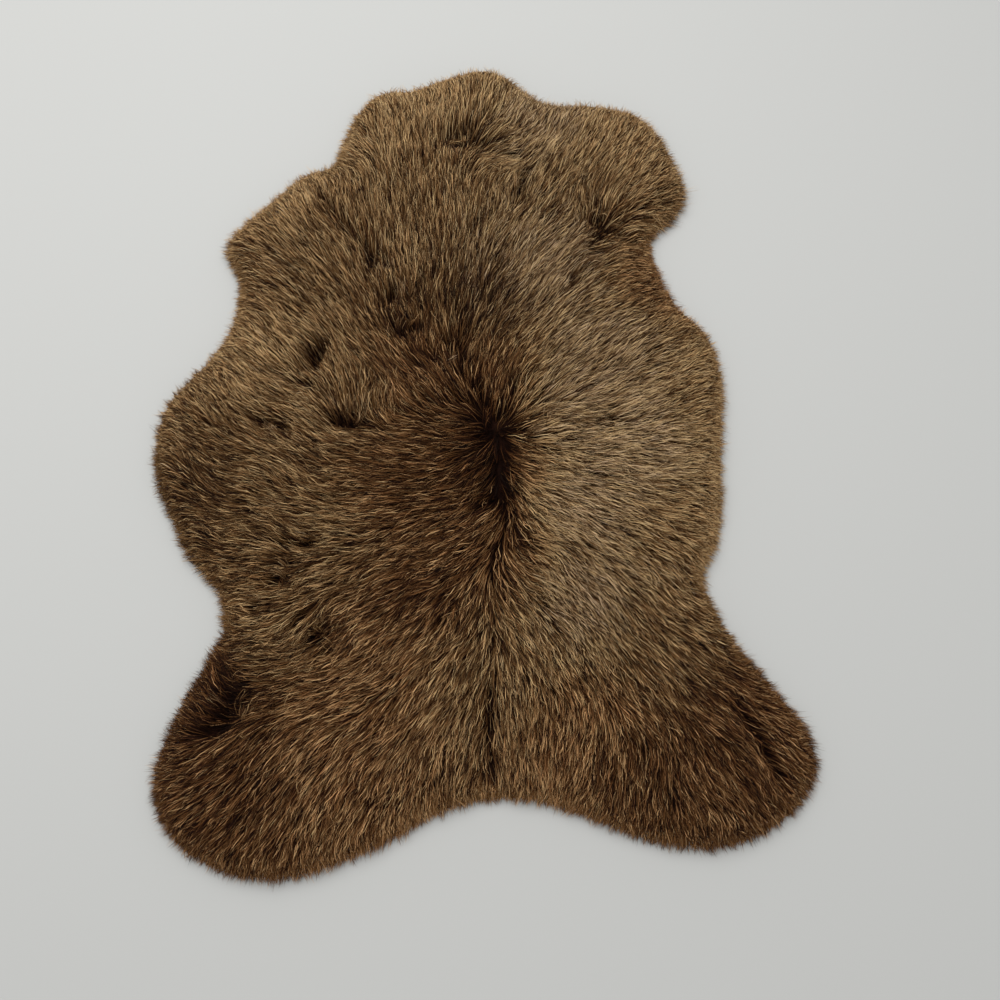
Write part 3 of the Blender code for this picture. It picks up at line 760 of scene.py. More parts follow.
def breaks():
    """The partings and the pits as one list: ends, reach, push, depth, painted shade and hold."""
    partings = [row[1:] for row in PARTINGS]
    pits = [(start, end, reach, PIT_PUSH, PIT_DEPTH, dark, PIT_HOLD) for _, start, end, reach, dark in PITS]
    return partings + pits


@cache
def charts():
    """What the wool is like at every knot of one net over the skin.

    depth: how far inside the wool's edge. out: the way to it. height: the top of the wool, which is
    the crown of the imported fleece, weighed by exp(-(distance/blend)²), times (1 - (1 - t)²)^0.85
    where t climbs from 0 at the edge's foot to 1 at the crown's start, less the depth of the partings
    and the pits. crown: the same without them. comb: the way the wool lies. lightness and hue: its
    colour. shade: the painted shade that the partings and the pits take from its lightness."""
    triangles = packed_triangles("fleece")
    wall = underside_ring("fleece")
    low, high = wall.min(axis=0) - NET_MARGIN, wall.max(axis=0) + NET_MARGIN
    net = Net(low, high, NET_PITCH)
    inside_wall, out = depth_inside(net, wall)
    depth = inside_wall + RIM_REACH

    spots = np.unique(triangles.reshape(-1, 3).round(6), axis=0)
    seat = spots[:, 2][net.read(inside_wall, spots[:, :2]) > 0].min()
    top = spots[(net.read(depth, spots[:, :2]) > CROWN_READ) & (spots[:, 2] > seat + 0.005)]

    def weighed(some):
        weight = np.exp(-squared_off(some, top[:, :2]) / HEIGHT_BLEND**2) + 1e-30
        return weight @ top[:, 2] / weight.sum(axis=1)

    height = in_chunks(weighed, net.knots)
    shoulder = np.clip((depth - EDGE_FOOT) / (CROWN_START - EDGE_FOOT), 0, 1)
    height *= (1 - (1 - shoulder) ** 2) ** 0.85

    places = np.array([(x, y) for _, x, y, _ in COMB])
    comb = unit(spread(net.knots, places, headings([row[3] for row in COMB]), COMB_SOFTNESS, COMB_POWER))
    places = np.array([(x, y) for _, x, y, _, _ in PATCHES])
    colour = np.array([(light, hue) for _, _, _, light, hue in PATCHES])
    lightness, hue = spread(net.knots, places, colour, PATCH_SOFTNESS, PATCH_POWER).T

    crown = height.copy()
    shade = np.zeros(len(height))
    for start, end, reach, push, deep, painted_shade, _ in breaks():
        start, run = np.array(start), np.subtract(end, start)
        share = np.clip((net.knots - start) @ run / (run @ run), 0, 1)
        off = net.knots - start - share[:, None] * run
        felt = np.exp(-((np.linalg.norm(off, axis=1) / reach) ** 2))
        comb = unit(comb + (push * felt)[:, None] * unit(off))
        height -= deep * felt
        # The partings and the pits add painted shade here
        shade += painted_shade * felt
    return SimpleNamespace(
        net=net, depth=depth, out=out, height=height, crown=crown, comb=comb, lightness=lightness,
        hue=hue, shade=np.minimum(shade, DEEPEST_SHADE))


def at_points(values, points):
    """A chart's values at an array of points of any shape."""
    return charts().net.read(values, points.reshape(-1, 2)).reshape(points.shape[:-1])


def scattered(pitch, shallow, deep, seed):
    """Points on a hexagonal net, each moved by up to 0.42 of the pitch, where the wool's depth is
    between shallow and deep."""
    chart = charts()
    low, high = chart.net.knots.min(axis=0), chart.net.knots.max(axis=0)
    rows = np.arange(low[1], high[1], pitch * math.sqrt(0.75))
    columns = np.arange(low[0], high[0], pitch)
    x = columns + pitch / 2 * (np.arange(len(rows)) % 2)[:, None]
    points = np.stack([x, np.broadcast_to(rows[:, None], x.shape)], axis=-1).reshape(-1, 2)
    points = points + np.random.default_rng(seed).uniform(-0.42, 0.42, points.shape) * pitch
    depth = chart.net.read(chart.depth, points)
    return points[(depth > shallow) & (depth < deep)]


def way_to_partings(roots, tips, seed):
    """The share of its way from root to tip that each lock has before the first line that holds it, or
    1. For a lock p + u r and a line q + v s, u is cross(q - p, s) / cross(r, s), and v likewise."""

    def cross(a, b):
        return a[..., 0] * b[..., 1] - a[..., 1] * b[..., 0]

    rng = np.random.default_rng(seed)
    share = np.ones(len(roots))
    run = tips - roots
    for start, end, _, _, _, _, hold in breaks():
        line = np.subtract(end, start)
        turned = cross(run, line)
        turned = np.where(np.abs(turned) < 1e-12, 1e-12, turned)
        u = cross(start - roots, line) / turned
        v = cross(start - roots, run) / turned
        met = (u > 0) & (u < share) & (v > -0.05) & (v < 1.05) & (rng.uniform(size=len(roots)) < hold)
        share[met] = u[met]
    return share


def wool_locks(sizes):
    """The locks: where each is rooted, the way it leaves its root and the way it ends, how long, wide
    and high it is, how it waves, and its colour.

    A lock starts along the comb, swung a little by smooth noise, and turns to the comb at its tip.
    Near the wool's edge it turns outwards, and it ends where the wool does."""
    chart = charts()
    roots = np.vstack([
        scattered(sizes.lock_pitch, 0.009, 1.0, 1),
        scattered(sizes.lock_pitch * 0.9, 0.005, 0.021, 2),
    ])
    count = len(roots)
    rng = np.random.default_rng(11)
    depth = chart.net.read(chart.depth, roots)
    out = chart.net.read(chart.out, roots)
    edge = np.clip((0.040 - depth) / 0.032, 0, 1)[:, None]

    def combed(points):
        """The comb at the points, blended with the way out at the edge."""
        return unit(unit(chart.net.read(chart.comb, points)) * (1 - 0.55 * edge) + out * 0.55 * edge)

    swing = 13 * ripple(roots, 0.024, 3) + 8 * ripple(roots, 0.011, 4) + 5 * rng.normal(size=count)
    swing = np.radians(swing)
    start = combed(roots)
    start = start * np.cos(swing)[:, None] + sideways(start) * np.sin(swing)[:, None]
    length = sizes.lock_length * (0.86 + 0.16 * ripple(roots, 0.030, 5) + 0.22 * rng.uniform(size=count))
    end = combed(roots + start * length[:, None] * 0.7)
    bend = np.radians(16 * ripple(roots, 0.018, 6) + 9 * rng.normal(size=count))
    end = end * np.cos(bend)[:, None] + sideways(end) * np.sin(bend)[:, None]

    tips = roots + (start + end) / 2 * length[:, None]
    reached = chart.net.read(chart.depth, tips)
    allowed = 0.006 - 0.011 * rng.uniform(size=count) ** 1.4
    short = np.where(reached < allowed, (depth - allowed) / np.maximum(depth - reached, 1e-4), 1)
    held = way_to_partings(roots, tips, 12)
    length = length * np.clip(short, 0.2, 1) * np.clip(held, 0.25, 1)

    lift = 0.065 * ripple(roots, 0.021, 7) + 0.045 * ripple(roots, 0.010, 8) + 0.03 * rng.normal(size=count)
    lightness = np.clip(chart.net.read(chart.lightness, roots + start * length[:, None] * 0.6), 0, 1)
    hue = chart.net.read(chart.hue, roots)
    contrast = 0.45 + 0.75 * lightness
    return SimpleNamespace(
        root=roots, start=start, end=end, length=length, depth=depth, lift=lift, contrast=contrast,
        width=sizes.lock_width * rng.uniform(0.75, 1.25, count),
        pinch=np.clip(sizes.lock_pinch + 0.16 * rng.normal(size=count) - 0.3 * edge[:, 0], 0.1, 0.95),
        wave=sizes.wave_height * rng.uniform(0.5, 1.6, count),
        wave_length=sizes.wave_length * rng.uniform(0.8, 1.25, count),
        phase=math.pi * 2.2 * ripple(roots, 0.026, 9) + rng.uniform(-0.9, 0.9, count),
        lightness=lightness + contrast * (0.07 * rng.normal(size=count) + 0.035 * ripple(roots, 0.013, 10)),
        hue=hue + 0.07 * rng.normal(size=count))


def strand_lines(locks, sizes):
    """The strands' centre lines, as an array of strand, station and coordinate, with each strand's
    full width, and its lightness at every station and its hue.

    In plan a strand runs root + L (start s + (end - start) s²/2), set off to its side of the lock,
    which pinches towards the tip, and swings by wave s^0.6 sin(2 pi s L / wave length + phase). Its
    height is a share of the wool's height there, from 0.45 at the root to about 1 at the tip."""
    chart = charts()
    rng = np.random.default_rng(23)
    count = len(locks.root)
    each = sizes.strands
    lanes = (np.arange(each) + 0.5) / each * 2 - 1
    across = (lanes + rng.uniform(-0.9, 0.9, (count, each)) / each).ravel()

    def per_strand(values):
        return np.repeat(values, each, axis=0)

    total = count * each
    glinting_stray = rng.uniform(size=total) < 0.10
    turn = np.radians(rng.normal(size=total) * np.where(glinting_stray, 17, 4))
    start, end = per_strand(locks.start), per_strand(locks.end)
    start = start * np.cos(turn)[:, None] + sideways(start) * np.sin(turn)[:, None]
    end = end * np.cos(turn)[:, None] + sideways(end) * np.sin(turn)[:, None]
    length = per_strand(locks.length) * rng.uniform(0.68, 1.06, total)
    width, pinch = per_strand(locks.width), per_strand(locks.pinch)
    behind = rng.uniform(-0.30, 0.25, total) * np.clip(per_strand(locks.depth) / 0.03, 0, 1)
    root = per_strand(locks.root) + start * (behind * length)[:, None] * 0.4

    s = LOCK_STATIONS[None, :]
    way = unit(start[:, None] + (end - start)[:, None] * s[..., None])
    run = start[:, None] * s[..., None] + (end - start)[:, None] * s[..., None] ** 2 / 2
    aside = (across * width / 2)[:, None] * (1 - pinch[:, None] * s**1.4)
    angle = 2 * math.pi * s * (length / per_strand(locks.wave_length))[:, None]
    phase = (per_strand(locks.phase) + rng.uniform(-0.5, 0.5, total))[:, None]
    wave = (per_strand(locks.wave) * rng.uniform(0.6, 1.4, total))[:, None] * s**0.6
    aside = aside + wave * np.sin(angle + phase)
    plan = root[:, None] + run * length[:, None, None] + sideways(way) * aside[..., None]

    height = at_points(chart.height, plan)
    lift = (per_strand(locks.lift) + rng.normal(size=total) * 0.035 - 0.09 * across**2)[:, None]
    share = 0.45 + 0.56 * (1 - (1 - s) ** 2.5) + lift * (0.35 + 0.65 * s)
    share = share + 0.03 * s**4 * rng.normal(size=(total, 1))
    high = height * share + 0.5 * wave * np.cos(angle + phase)
    floor = 0.0008 + 0.0012 * rng.uniform(size=(total, 1))
    high = np.maximum(high, floor)

    contrast = per_strand(locks.contrast)
    # A stray strand is painted lighter, a painted glint
    light = per_strand(locks.lightness) + contrast * (0.45 * rng.normal(size=total) + 0.20 * glinting_stray)
    # Painted shade darkens a strand towards its root, deep in the wool; its tip is lighter, sun-bleached and
    # with a painted sheen
    light = light[:, None] + contrast[:, None] * (0.24 * s**3 - 0.34 * (1 - s) ** 1.6)
    # Painted light at the wool's edge, growing towards the tips
    light = light + EDGE_LIGHT * s * np.clip((0.010 - at_points(chart.depth, plan)) / 0.014, 0, 1)
    # Painted shade of the partings and the pits, taken off at each station
    light = light - at_points(chart.shade, plan)
    hue = per_strand(locks.hue) + 0.05 * rng.normal(size=total)
    full = sizes.strand_width * rng.uniform(0.7, 1.3, total) * np.where(glinting_stray, 0.7, 1.0)
    full = full * (1 - 0.3 * np.clip((0.022 - per_strand(locks.depth)) / 0.012, 0, 1))
    line = np.concatenate([plan, high[..., None]], axis=-1)
    return line, full, np.clip(light, 0.01, 0.99), np.clip(hue, 0.01, 0.99)


def fringe_lines(sizes):
    """The fine strands that make the wool's edge soft, as strand_lines gives the locks' strands.

    They are rooted in groups just inside the edge and head between the comb and the way out. A group
    ends past the edge by reach u^1.2, for u from 0 to 1, and closes up as 1 - 0.75 s on its way. A
    strand sinks from its root as 1 - 0.45 s^1.5."""
    chart = charts()
    rng = np.random.default_rng(57)
    groups = scattered(sizes.fringe_pitch, 0.001, 0.015, 5)
    each, count = sizes.fringe_strands, len(groups)

    def per_strand(values):
        return np.repeat(values, each, axis=0)

    total = count * each
    off = 0.0015 * rng.normal(size=(total, 2))
    roots = per_strand(groups) + off
    out = unit(chart.net.read(chart.out, roots))
    start = unit(0.55 * unit(chart.net.read(chart.comb, roots)) + 0.75 * out)
    swing = per_strand(13 * rng.normal(size=count) + 12 * ripple(groups, 0.013, 15))
    swing = np.radians(swing + 6 * rng.normal(size=total))
    start = start * np.cos(swing)[:, None] + sideways(start) * np.sin(swing)[:, None]
    bend = np.radians(per_strand(16 * rng.normal(size=count)) + 5 * rng.normal(size=total))
    end = start * np.cos(bend)[:, None] + sideways(start) * np.sin(bend)[:, None]
    past = sizes.fringe_reach * per_strand(rng.uniform(size=count) ** 1.2) * rng.uniform(0.3, 1.0, total)
    length = (at_points(chart.depth, roots) + past) / np.clip((start * out).sum(axis=1), 0.5, 1)

    s = FRINGE_STATIONS[None, :]
    run = start[:, None] * s[..., None] + (end - start)[:, None] * s[..., None] ** 2 / 2
    plan = roots[:, None] + run * length[:, None, None] - 0.75 * off[:, None] * s[..., None]
    rise = (at_points(chart.height, roots) * rng.uniform(0.12, 1.0, total))[:, None]
    high = rise * (1 - 0.45 * s**1.5) + 0.0015 * s * rng.normal(size=(total, 1))
    high = np.maximum(high, 0.0008)
    light = at_points(chart.lightness, roots) + 0.22 * rng.normal(size=total)
    # Painted light: the fringe is lighter towards its tips, where light comes through it
    light = light[:, None] + EDGE_LIGHT * (0.1 + 1.1 * s)
    hue = at_points(chart.hue, roots) + 0.06 * rng.normal(size=total)
    full = sizes.strand_width * rng.uniform(0.45, 0.8, total)
    line = np.concatenate([plan, high[..., None]], axis=-1)
    return line, full, np.clip(light, 0.01, 0.99), np.clip(hue, 0.01, 0.99)


def tuft_lines(sizes):
    """The tufts' strands, as strand_lines gives the locks' strands.

    A strand of a tuft heads for h + t s at the share s of its length L, so it runs
    L (sin(h + t s) - sin h) / t along x and L (cos h - cos(h + t s)) / t along y. It is set off to its
    side of the tuft, whose width follows sin(pi (0.15 + 0.8 s))."""
    chart = charts()
    rng = np.random.default_rng(41)
    each = sizes.tuft_strands
    x, y, heading, turn, length, lightness, hue = np.repeat([row[1:] for row in TUFTS], each, axis=0).T
    total = len(x)
    lane = np.tile((np.arange(each) + 0.5) / each * 2 - 1, len(TUFTS)) + 0.15 * rng.normal(size=total)
    heading = np.radians(heading + 7 * rng.normal(size=total))[:, None]
    turn = np.radians(np.where(np.abs(turn) < 1, 1, turn) * rng.uniform(0.75, 1.2, total))[:, None]
    length = (length * rng.uniform(0.55, 1.1, total))[:, None]
    root = np.stack([x, y], axis=-1) + 0.0012 * rng.normal(size=(total, 2))

    s = TUFT_STATIONS[None, :]
    angle = heading + turn * s
    run = length[..., None] / turn[..., None] * np.stack(
        [np.sin(angle) - np.sin(heading), np.cos(heading) - np.cos(angle)], axis=-1)
    aside = lane[:, None] * sizes.tuft_width / 2 * np.sin(math.pi * (0.15 + 0.8 * s))
    sway = 2 * math.pi * s * rng.uniform(1.5, 2.5, (total, 1)) + 6 * rng.uniform(size=(total, 1))
    aside = aside + 0.0004 * np.sin(sway)
    way = np.stack([np.cos(angle), np.sin(angle)], axis=-1)
    plan = root[:, None] + run + sideways(way) * aside[..., None]
    share = 0.62 + 0.40 * (1 - (1 - s) ** 2) - 0.06 * (lane**2)[:, None] + 0.04 * rng.normal(size=(total, 1))
    high = at_points(chart.crown, plan) * share
    # Painted shade darkens a tuft towards its root; its tip is lighter, bleached and with a painted sheen
    light = (lightness - 0.10 + 0.20 * rng.normal(size=total))[:, None] + 0.16 * s**2 - 0.50 * (1 - s) ** 1.5
    hue = hue + 0.05 * rng.normal(size=total)
    full = sizes.strand_width * rng.uniform(0.55, 1.05, total)
    line = np.concatenate([plan, high[..., None]], axis=-1)
    return line, full, np.clip(light, 0.01, 0.99), np.clip(hue, 0.01, 0.99)


def ribbon_mesh(name, line, full, light, hue, along_share, seed):
    """One mesh of tapered ribbons, one along each line: at each station but the last, two corners
    half a width to each side, turned about the line by the strand's own roll, and at the last a tip.
    A strand is 1 - 0.6 s³ of its full width wide. The map takes hue as u and lightness as v."""
    total, stations = line.shape[:2]
    along = unit(np.gradient(line, axis=1))
    level = unit(np.cross(along, (0.0, 0.0, 1.0)))
    rising = np.cross(level, along)
    rng = np.random.default_rng(seed)
    roll = rng.uniform(-0.9, 0.9, (total, 1)) + rng.uniform(-0.7, 0.7, (total, 1)) * along_share
    side = level * np.cos(roll)[..., None] + rising * np.sin(roll)[..., None]
    half = side[:, :-1] * (full[:, None] * (1 - 0.6 * along_share[:-1] ** 3) / 2)[..., None]
    pairs = np.stack([line[:, :-1] + half, line[:, :-1] - half], axis=2)
    spots = np.concatenate([pairs.reshape(total, -1, 3), line[:, -1:]], axis=1)
    spots[..., 2] = np.maximum(spots[..., 2], 0.0003)

    quads = [(2 * k, 2 * k + 2, 2 * k + 3, 2 * k + 1) for k in range(stations - 2)]
    tip = 2 * (stations - 1)
    corners = np.array([c for quad in quads for c in quad] + [tip - 2, tip, tip - 1])
    sizes = np.array([4] * len(quads) + [3])
    per_ribbon = spots.shape[1]
    loops = (np.arange(total)[:, None] * per_ribbon + corners).ravel()
    lengths = np.tile(sizes, total)
    starts = np.concatenate([[0], np.cumsum(lengths)[:-1]])

    mesh = bpy.data.meshes.new(name)
    mesh.vertices.add(total * per_ribbon)
    mesh.vertices.foreach_set("co", spots.astype(np.float32).ravel())
    mesh.loops.add(len(loops))
    mesh.loops.foreach_set("vertex_index", loops.astype(np.int32))
    mesh.polygons.add(len(lengths))
    mesh.polygons.foreach_set("loop_start", starts.astype(np.int32))
    mesh.polygons.foreach_set("use_smooth", np.ones(len(lengths), bool))

    nudge = np.array([0.004, -0.004] * (stations - 1) + [0.0])
    u = hue[:, None] + nudge
    v = np.concatenate([np.repeat(light[:, :-1], 2, axis=1), light[:, -1:]], axis=1)
    place = np.stack([u, v], axis=-1)[:, corners]
    layer = mesh.uv_layers.new(name="OFBake")
    layer.data.foreach_set("uv", place.astype(np.float32).ravel())
    mesh.update(calc_edges=True)
    return mesh


def slab_mesh(name, net, depth, out, top, bottom):
    """A closed slab over the part of the net where depth is more than nothing: the net's squares
    whose corners are nearly all inside, their outer corners moved along the way out onto the edge, a
    top and a bottom that are functions of place and depth, and a wall between them."""
    kept = depth.reshape(net.shape) > -0.45 * net.pitch
    cells = kept[:-1, :-1] & kept[1:, :-1] & kept[1:, 1:] & kept[:-1, 1:]
    number = np.arange(len(net.knots)).reshape(net.shape)
    x, y = np.nonzero(cells)
    squares = np.stack([number[x, y], number[x + 1, y], number[x + 1, y + 1], number[x, y + 1]], axis=1)
    padded = np.pad(cells, 1)
    sides = ((0, -1), (1, 0), (0, 1), (-1, 0))
    rim = np.concatenate([
        squares[~padded[x + 1 + dx, y + 1 + dy]][:, [k, (k + 1) % 4]] for k, (dx, dy) in enumerate(sides)])
    plan = net.knots.copy()
    edge = np.unique(rim)
    plan[edge] += out[edge] * depth[edge][:, None]
    inside = depth.copy()
    inside[edge] = 0
    used = np.unique(squares)
    fresh = np.full(len(net.knots), -1)
    fresh[used] = np.arange(len(used))
    squares, rim = fresh[squares], fresh[rim]
    plan, inside = plan[used], inside[used]
    spots = np.concatenate([
        np.column_stack([plan, top(plan, inside)]), np.column_stack([plan, bottom(plan, inside)])])
    under = len(used)
    walls = np.stack([rim[:, 1], rim[:, 0], rim[:, 0] + under, rim[:, 1] + under], axis=1)
    faces = np.concatenate([squares, squares[:, ::-1] + under, walls])
    mesh = bpy.data.meshes.new(name)
    mesh.from_pydata(spots.tolist(), [], faces.tolist())
    mesh.polygons.foreach_set("use_smooth", np.ones(len(faces), bool))
    mesh.set_sharp_from_angle(angle=math.radians(50))
    mesh.update()
    return mesh


class Shade:
    """One output of a shader node. Sums written with it add the Math nodes that they stand for."""

    def __init__(self, tree, output=None):
        self.tree = tree
        self.output = output

    def add(self, kind, settings=None, values=None, output=0):
        """A new node's output: its settings are set first, then its sockets' values or links."""
        node = self.tree.nodes.new(kind)
        for name, value in (settings or {}).items():
            if name == "stops":
                fill_ramp(node.color_ramp, value)
            else:
                setattr(node, name, value)
        for socket, value in (values or {}).items():
            if isinstance(value, Shade):
                self.tree.links.new(value.output, node.inputs[socket])
            else:
                node.inputs[socket].default_value = value
        return Shade(self.tree, node.outputs[output])

    def maths(self, operation, first, second):
        return self.add("ShaderNodeMath", {"operation": operation}, {0: first, 1: second})

    def __add__(self, other):
        return self.maths("ADD", self, other)

    def __mul__(self, other):
        return self.maths("MULTIPLY", self, other)

    __radd__ = __add__
    __rmul__ = __mul__


def fill_ramp(ramp, stops):
    """Sets a colour ramp's stops, given as place and linear colour."""
    while len(ramp.elements) < len(stops):
        ramp.elements.new(0.5)
    for element, (place, colour) in zip(ramp.elements, stops):
        element.position = place
        element.color = (*colour, 1.0)


def new_material(name):
    """An empty material, its tree's first shade, and its Principled shader node."""
    material = bpy.data.materials.new(name)
    material.use_nodes = True
    tree = material.node_tree
    return material, Shade(tree), tree.nodes["Principled BSDF"]


def wool_material():
    """Wool coloured by the strands' own map: a ramp along v from roots darkened by painted shade to
    bleached tips with a painted sheen, times a tint from greyish over golden to reddish brown along u."""
    colours = bpy.context.scene.sheepskin_colours
    material, shade, shader = new_material("wool_strands")
    place = shade.add("ShaderNodeUVMap", {"uv_map": "OFBake"})
    hue = shade.add("ShaderNodeSeparateXYZ", values={0: place})
    light = shade.add("ShaderNodeSeparateXYZ", values={0: place}, output=1)
    tones = (colours.root, colours.dark, colours.brown, colours.tan, colours.tip)
    tone = shade.add(
        "ShaderNodeValToRGB", {"stops": list(zip((0.0, 0.25, 0.5, 0.75, 1.0), tones))}, {0: light})
    tints = (colours.grey_tint, colours.gold_tint, colours.red_tint)
    tint = shade.add("ShaderNodeValToRGB", {"stops": list(zip((0.0, 0.5, 1.0), tints))}, {0: hue})
    mixed = shade.add(
        "ShaderNodeMix", {"data_type": "RGBA", "blend_type": "MULTIPLY"},
        {0: 1.0, 6: tone, 7: tint}, output=2)
    shade.tree.links.new(mixed.output, shader.inputs["Base Color"])
    shader.inputs["Roughness"].default_value = 0.62
    shader.inputs["Specular IOR Level"].default_value = 0.04
    return material


def under_wool_material():
    """The felted wool that shows between the locks, dark brown darkened further as painted shade of the
    gaps: brown in two depths by fine noise, with a bump of the same noise."""
    colours = bpy.context.scene.sheepskin_colours
    material, shade, shader = new_material("under_wool")
    place = shade.add("ShaderNodeTexCoord", output=3)
    fibres = shade.add(
        "ShaderNodeTexNoise", {}, {"Vector": place, "Scale": 420.0, "Detail": 4.0, "Roughness": 0.7})
    clumps = shade.add("ShaderNodeTexNoise", {}, {"Vector": place, "Scale": 70.0, "Detail": 2.0})
    mask = fibres * 0.6 + clumps * 0.4
    colour = shade.add(
        "ShaderNodeValToRGB", {"stops": [(0.35, colours.root), (0.75, colours.dark)]}, {0: mask})
    bump = shade.add("ShaderNodeBump", {}, {"Strength": 0.8, "Distance": 0.002, "Height": mask})
    shade.tree.links.new(colour.output, shader.inputs["Base Color"])
    shade.tree.links.new(bump.output, shader.inputs["Normal"])
    shader.inputs["Roughness"].default_value = 0.9
    shader.inputs["Specular IOR Level"].default_value = 0.02
    return material


def skin_material():
    """The flesh side of the tanned skin: cream suede with soft darker blotches, a fine nap that
    roughens it, and a bump of nap and of shallow creases."""
    colours = bpy.context.scene.sheepskin_colours
    material, shade, shader = new_material("tanned_suede")
    place = shade.add("ShaderNodeTexCoord", output=3)
    blotches = shade.add(
        "ShaderNodeTexNoise", {}, {"Vector": place, "Scale": 9.0, "Detail": 5.0, "Roughness": 0.6})
    nap = shade.add(
        "ShaderNodeTexNoise", {}, {"Vector": place, "Scale": 900.0, "Detail": 3.0, "Roughness": 0.8})
    creases = shade.add(
        "ShaderNodeTexNoise", {}, {"Vector": place, "Scale": 34.0, "Detail": 6.0, "Distortion": 0.6})
    colour = shade.add(
        "ShaderNodeValToRGB", {"stops": [(0.36, colours.skin_stain), (0.62, colours.skin)]},
        {0: blotches * 0.85 + nap * 0.15})
    bump = shade.add(
        "ShaderNodeBump", {}, {"Strength": 0.5, "Distance": 0.001, "Height": nap * 0.3 + creases})
    shade.tree.links.new(colour.output, shader.inputs["Base Color"])
    shade.tree.links.new((0.78 + nap * 0.15).output, shader.inputs["Roughness"])
    shade.tree.links.new(bump.output, shader.inputs["Normal"])
    shader.inputs["Sheen Weight"].default_value = 0.2
    return material


def floor_material():
    """A plain pale matt floor."""
    studio = bpy.context.scene.sheepskin_studio
    material, _, shader = new_material("pale_floor")
    shader.inputs["Base Color"].default_value = (*studio.floor_colour, 1.0)
    shader.inputs["Roughness"].default_value = 0.75
    return material


def placed(name, data, material=None):
    """A new object with this mesh or other data, in the scene."""
    made = bpy.data.objects.new(name, data)
    bpy.context.scene.collection.objects.link(made)
    if material:
        data.materials.append(material)
    return made


def dressed(wool):
    """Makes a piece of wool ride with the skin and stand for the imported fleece."""
    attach(wool, "root")
    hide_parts("fleece")


class SHEEPSKIN_OT_skin(bpy.types.Operator):
    """The tanned skin: a flat sheet 2 mm thick, cut to the shape of the animal"""

    bl_idname = "sheepskin.skin"
    bl_label = "Tanned skin"

    def execute(self, context):
        ring = underside_ring("hide")
        low, high = ring.min(axis=0), ring.max(axis=0)
        net = Net(low - 0.02, high + 0.02, 0.010)
        depth, out = depth_inside(net, ring)
        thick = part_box("hide")[1].z

        def top(plan, inside):
            """The sheet's thickness, thinner by up to 0.3 mm where smooth noise is low."""
            return thick - 0.00015 * (1 - ripple(plan, 0.045, 31))

        def bottom(plan, inside):
            return np.zeros(len(plan))

        skin = placed("skin", slab_mesh("skin", net, depth, out, top, bottom), skin_material())
        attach(skin, "root")
        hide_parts("hide")
        return {"FINISHED"}


class SHEEPSKIN_OT_under_wool(bpy.types.Operator):
    """The dense wool next to the skin, which shows between the locks, dark brown with painted shade"""

    bl_idname = "sheepskin.under_wool"
    bl_label = "Under wool"

    def execute(self, context):
        chart = charts()
        net = Net(chart.net.low, chart.net.knots.max(axis=0), 0.010)
        depth = chart.net.read(chart.depth, net.knots) - 0.013
        out = unit(chart.net.read(chart.out, net.knots))
        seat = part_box("hide")[1].z + 0.0003

        def top(plan, inside):
            """Half of the wool's height, brought down to the floor by a quarter ellipse at the edge."""
            share = np.clip(inside / 0.020, 0, 1)
            high = 0.50 * chart.net.read(chart.height, plan) * np.sqrt(1 - (1 - share) ** 2)
            return np.maximum(high + 0.0012 * ripple(plan, 0.012, 41) * share, seat + 0.001)

        def bottom(plan, inside):
            return np.full(len(plan), seat)

        slab = slab_mesh("under_wool", net, depth, out, top, bottom)
        dressed(placed("under_wool", slab, under_wool_material()))
        return {"FINISHED"}


class SHEEPSKIN_OT_locks(bpy.types.Operator):
    """The wool's locks, combed as on the real skin, in one piece for each part of the body"""

    bl_idname = "sheepskin.locks"
    bl_label = "Locks of wool"

    def execute(self, context):
        sizes = context.scene.sheepskin_wool
        locks = wool_locks(sizes)
        line, full, light, hue = strand_lines(locks, sizes)
        middles = np.array([(x, y) for _, x, y in WOOL_PIECES])
        piece = np.repeat(nearest(locks.root, middles), sizes.strands)
        material = wool_material()
        for number, (name, _, _) in enumerate(WOOL_PIECES):
            mine = piece == number
            if not mine.any():
                raise RuntimeError(f"no lock is rooted in {name}")
            mesh = ribbon_mesh(
                name, line[mine], full[mine], light[mine], hue[mine], LOCK_STATIONS, 100 + number)
            dressed(placed(name, mesh, material))
        return {"FINISHED"}


class SHEEPSKIN_OT_fringe(bpy.types.Operator):
    """The fine strands that stand out all round the wool's edge"""

    bl_idname = "sheepskin.fringe"
    bl_label = "Fringe of the wool"

    def execute(self, context):
        fringe = fringe_lines(context.scene.sheepskin_wool)
        ribbons = ribbon_mesh("wool_fringe", *fringe, FRINGE_STATIONS, 90)
        dressed(placed("wool_fringe", ribbons, wool_material()))
        return {"FINISHED"}


class SHEEPSKIN_OT_tufts(bpy.types.Operator):
    """The tufts that curl or stand out over the rest of the wool"""

    bl_idname = "sheepskin.tufts"
    bl_label = "Tufts of wool"

    def execute(self, context):
        tufts = tuft_lines(context.scene.sheepskin_wool)
        dressed(placed("wool_tufts", ribbon_mesh("wool_tufts", *tufts, TUFT_STATIONS, 80), wool_material()))
        return {"FINISHED"}


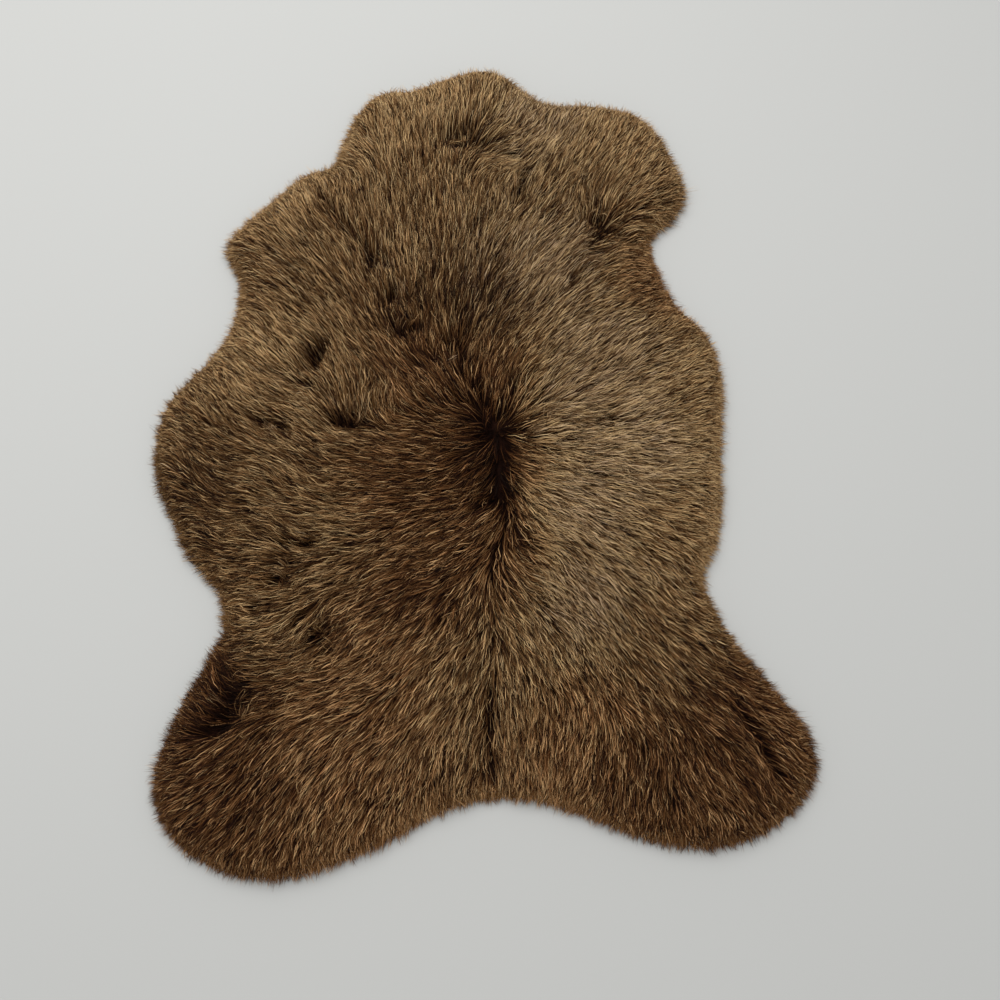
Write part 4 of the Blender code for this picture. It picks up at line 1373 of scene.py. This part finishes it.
class SHEEPSKIN_OT_studio(bpy.types.Operator):
    """A plain pale floor, a soft lamp overhead, even light all round, and the camera"""

    bl_idname = "sheepskin.studio"
    bl_label = "Studio"

    def execute(self, context):
        scene = context.scene
        studio = scene.sheepskin_studio
        half = studio.floor_side / 2
        floor_mesh = bpy.data.meshes.new("floor")
        low = -0.0005
        corners = [(-half, -half, low), (half, -half, low), (half, half, low), (-half, half, low)]
        floor_mesh.from_pydata(corners, [], [(0, 1, 2, 3)])
        placed("floor", floor_mesh, floor_material())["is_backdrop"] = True

        lamp_data = bpy.data.lights.new("soft_lamp", "AREA")
        lamp_data.shape = "SQUARE"
        lamp_data.size = studio.lamp_side
        lamp_data.energy = studio.lamp_power
        lamp = placed("soft_lamp", lamp_data)
        lamp.location = studio.lamp_place
        lamp.rotation_euler = (-Vector(studio.lamp_place)).to_track_quat("-Z", "Y").to_euler()

        world = bpy.data.worlds.new("even_light")
        world.use_nodes = True
        background = world.node_tree.nodes["Background"]
        background.inputs["Color"].default_value = (*studio.sky, 1.0)
        background.inputs["Strength"].default_value = studio.sky_strength
        scene.world = world
        scene.view_settings.view_transform = "Standard"

        tilt, roll, turn = studio.camera_tilt, studio.camera_roll, studio.camera_turn
        level = Vector((math.cos(turn), math.sin(turn), 0))
        ahead = Vector((-math.sin(turn), math.cos(turn), 0))
        rise = ahead * math.cos(tilt) + Vector((0, 0, math.sin(tilt)))
        right = level * math.cos(roll) - rise * math.sin(roll)
        up = level * math.sin(roll) + rise * math.cos(roll)
        camera_data = bpy.data.cameras.new("camera")
        camera_data.lens = studio.lens
        camera_data.sensor_width = 36.0
        camera = placed("camera", camera_data)
        turned = Matrix((right, up, right.cross(up))).transposed()
        camera.matrix_world = Matrix.Translation(studio.camera_place) @ turned.to_4x4()
        scene.camera = camera
        return {"FINISHED"}


class SHEEPSKIN_PT_panel(bpy.types.Panel):
    """Makes the sheepskin's pieces one by one"""

    bl_label = "Sheepskin"
    bl_idname = "SHEEPSKIN_PT_panel"
    bl_space_type = "VIEW_3D"
    bl_region_type = "UI"
    bl_category = "Sheepskin"

    def draw(self, context):
        scene = context.scene
        for group in (scene.sheepskin_wool, scene.sheepskin_colours, scene.sheepskin_studio):
            box = self.layout.box()
            for name in group.__annotations__:
                box.prop(group, name)
        for operator in OPERATORS:
            self.layout.operator(operator.bl_idname)


GROUPS = (SheepskinWool, SheepskinColours, SheepskinStudio)
OPERATORS = (
    SHEEPSKIN_OT_skin, SHEEPSKIN_OT_under_wool, SHEEPSKIN_OT_locks, SHEEPSKIN_OT_fringe,
    SHEEPSKIN_OT_tufts, SHEEPSKIN_OT_studio)


def register():
    for kind in (*GROUPS, *OPERATORS, SHEEPSKIN_PT_panel):
        bpy.utils.register_class(kind)
    bpy.types.Scene.sheepskin_wool = bpy.props.PointerProperty(type=SheepskinWool)
    bpy.types.Scene.sheepskin_colours = bpy.props.PointerProperty(type=SheepskinColours)
    bpy.types.Scene.sheepskin_studio = bpy.props.PointerProperty(type=SheepskinStudio)


def unregister():
    del bpy.types.Scene.sheepskin_studio
    del bpy.types.Scene.sheepskin_colours
    del bpy.types.Scene.sheepskin_wool
    for kind in reversed((*GROUPS, *OPERATORS, SHEEPSKIN_PT_panel)):
        bpy.utils.unregister_class(kind)


def check_triangles():
    """Raises an error where the pieces together hold more triangles than they may."""
    total = 0
    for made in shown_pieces():
        made.data.calc_loop_triangles()
        total += len(made.data.loop_triangles)
        print(f"{made.name}: {len(made.data.loop_triangles)} triangles")
    print(f"all pieces: {total} triangles")
    if total >= TRIANGLE_LIMIT:
        raise RuntimeError(f"the pieces hold {total} triangles, and may hold {TRIANGLE_LIMIT}")


def main():
    register()
    bpy.ops.sheepskin.studio()
    bpy.ops.sheepskin.skin()
    bpy.ops.sheepskin.under_wool()
    bpy.ops.sheepskin.locks()
    bpy.ops.sheepskin.fringe()
    bpy.ops.sheepskin.tufts()
    check_triangles()


if __name__ == "__main__":
    main()
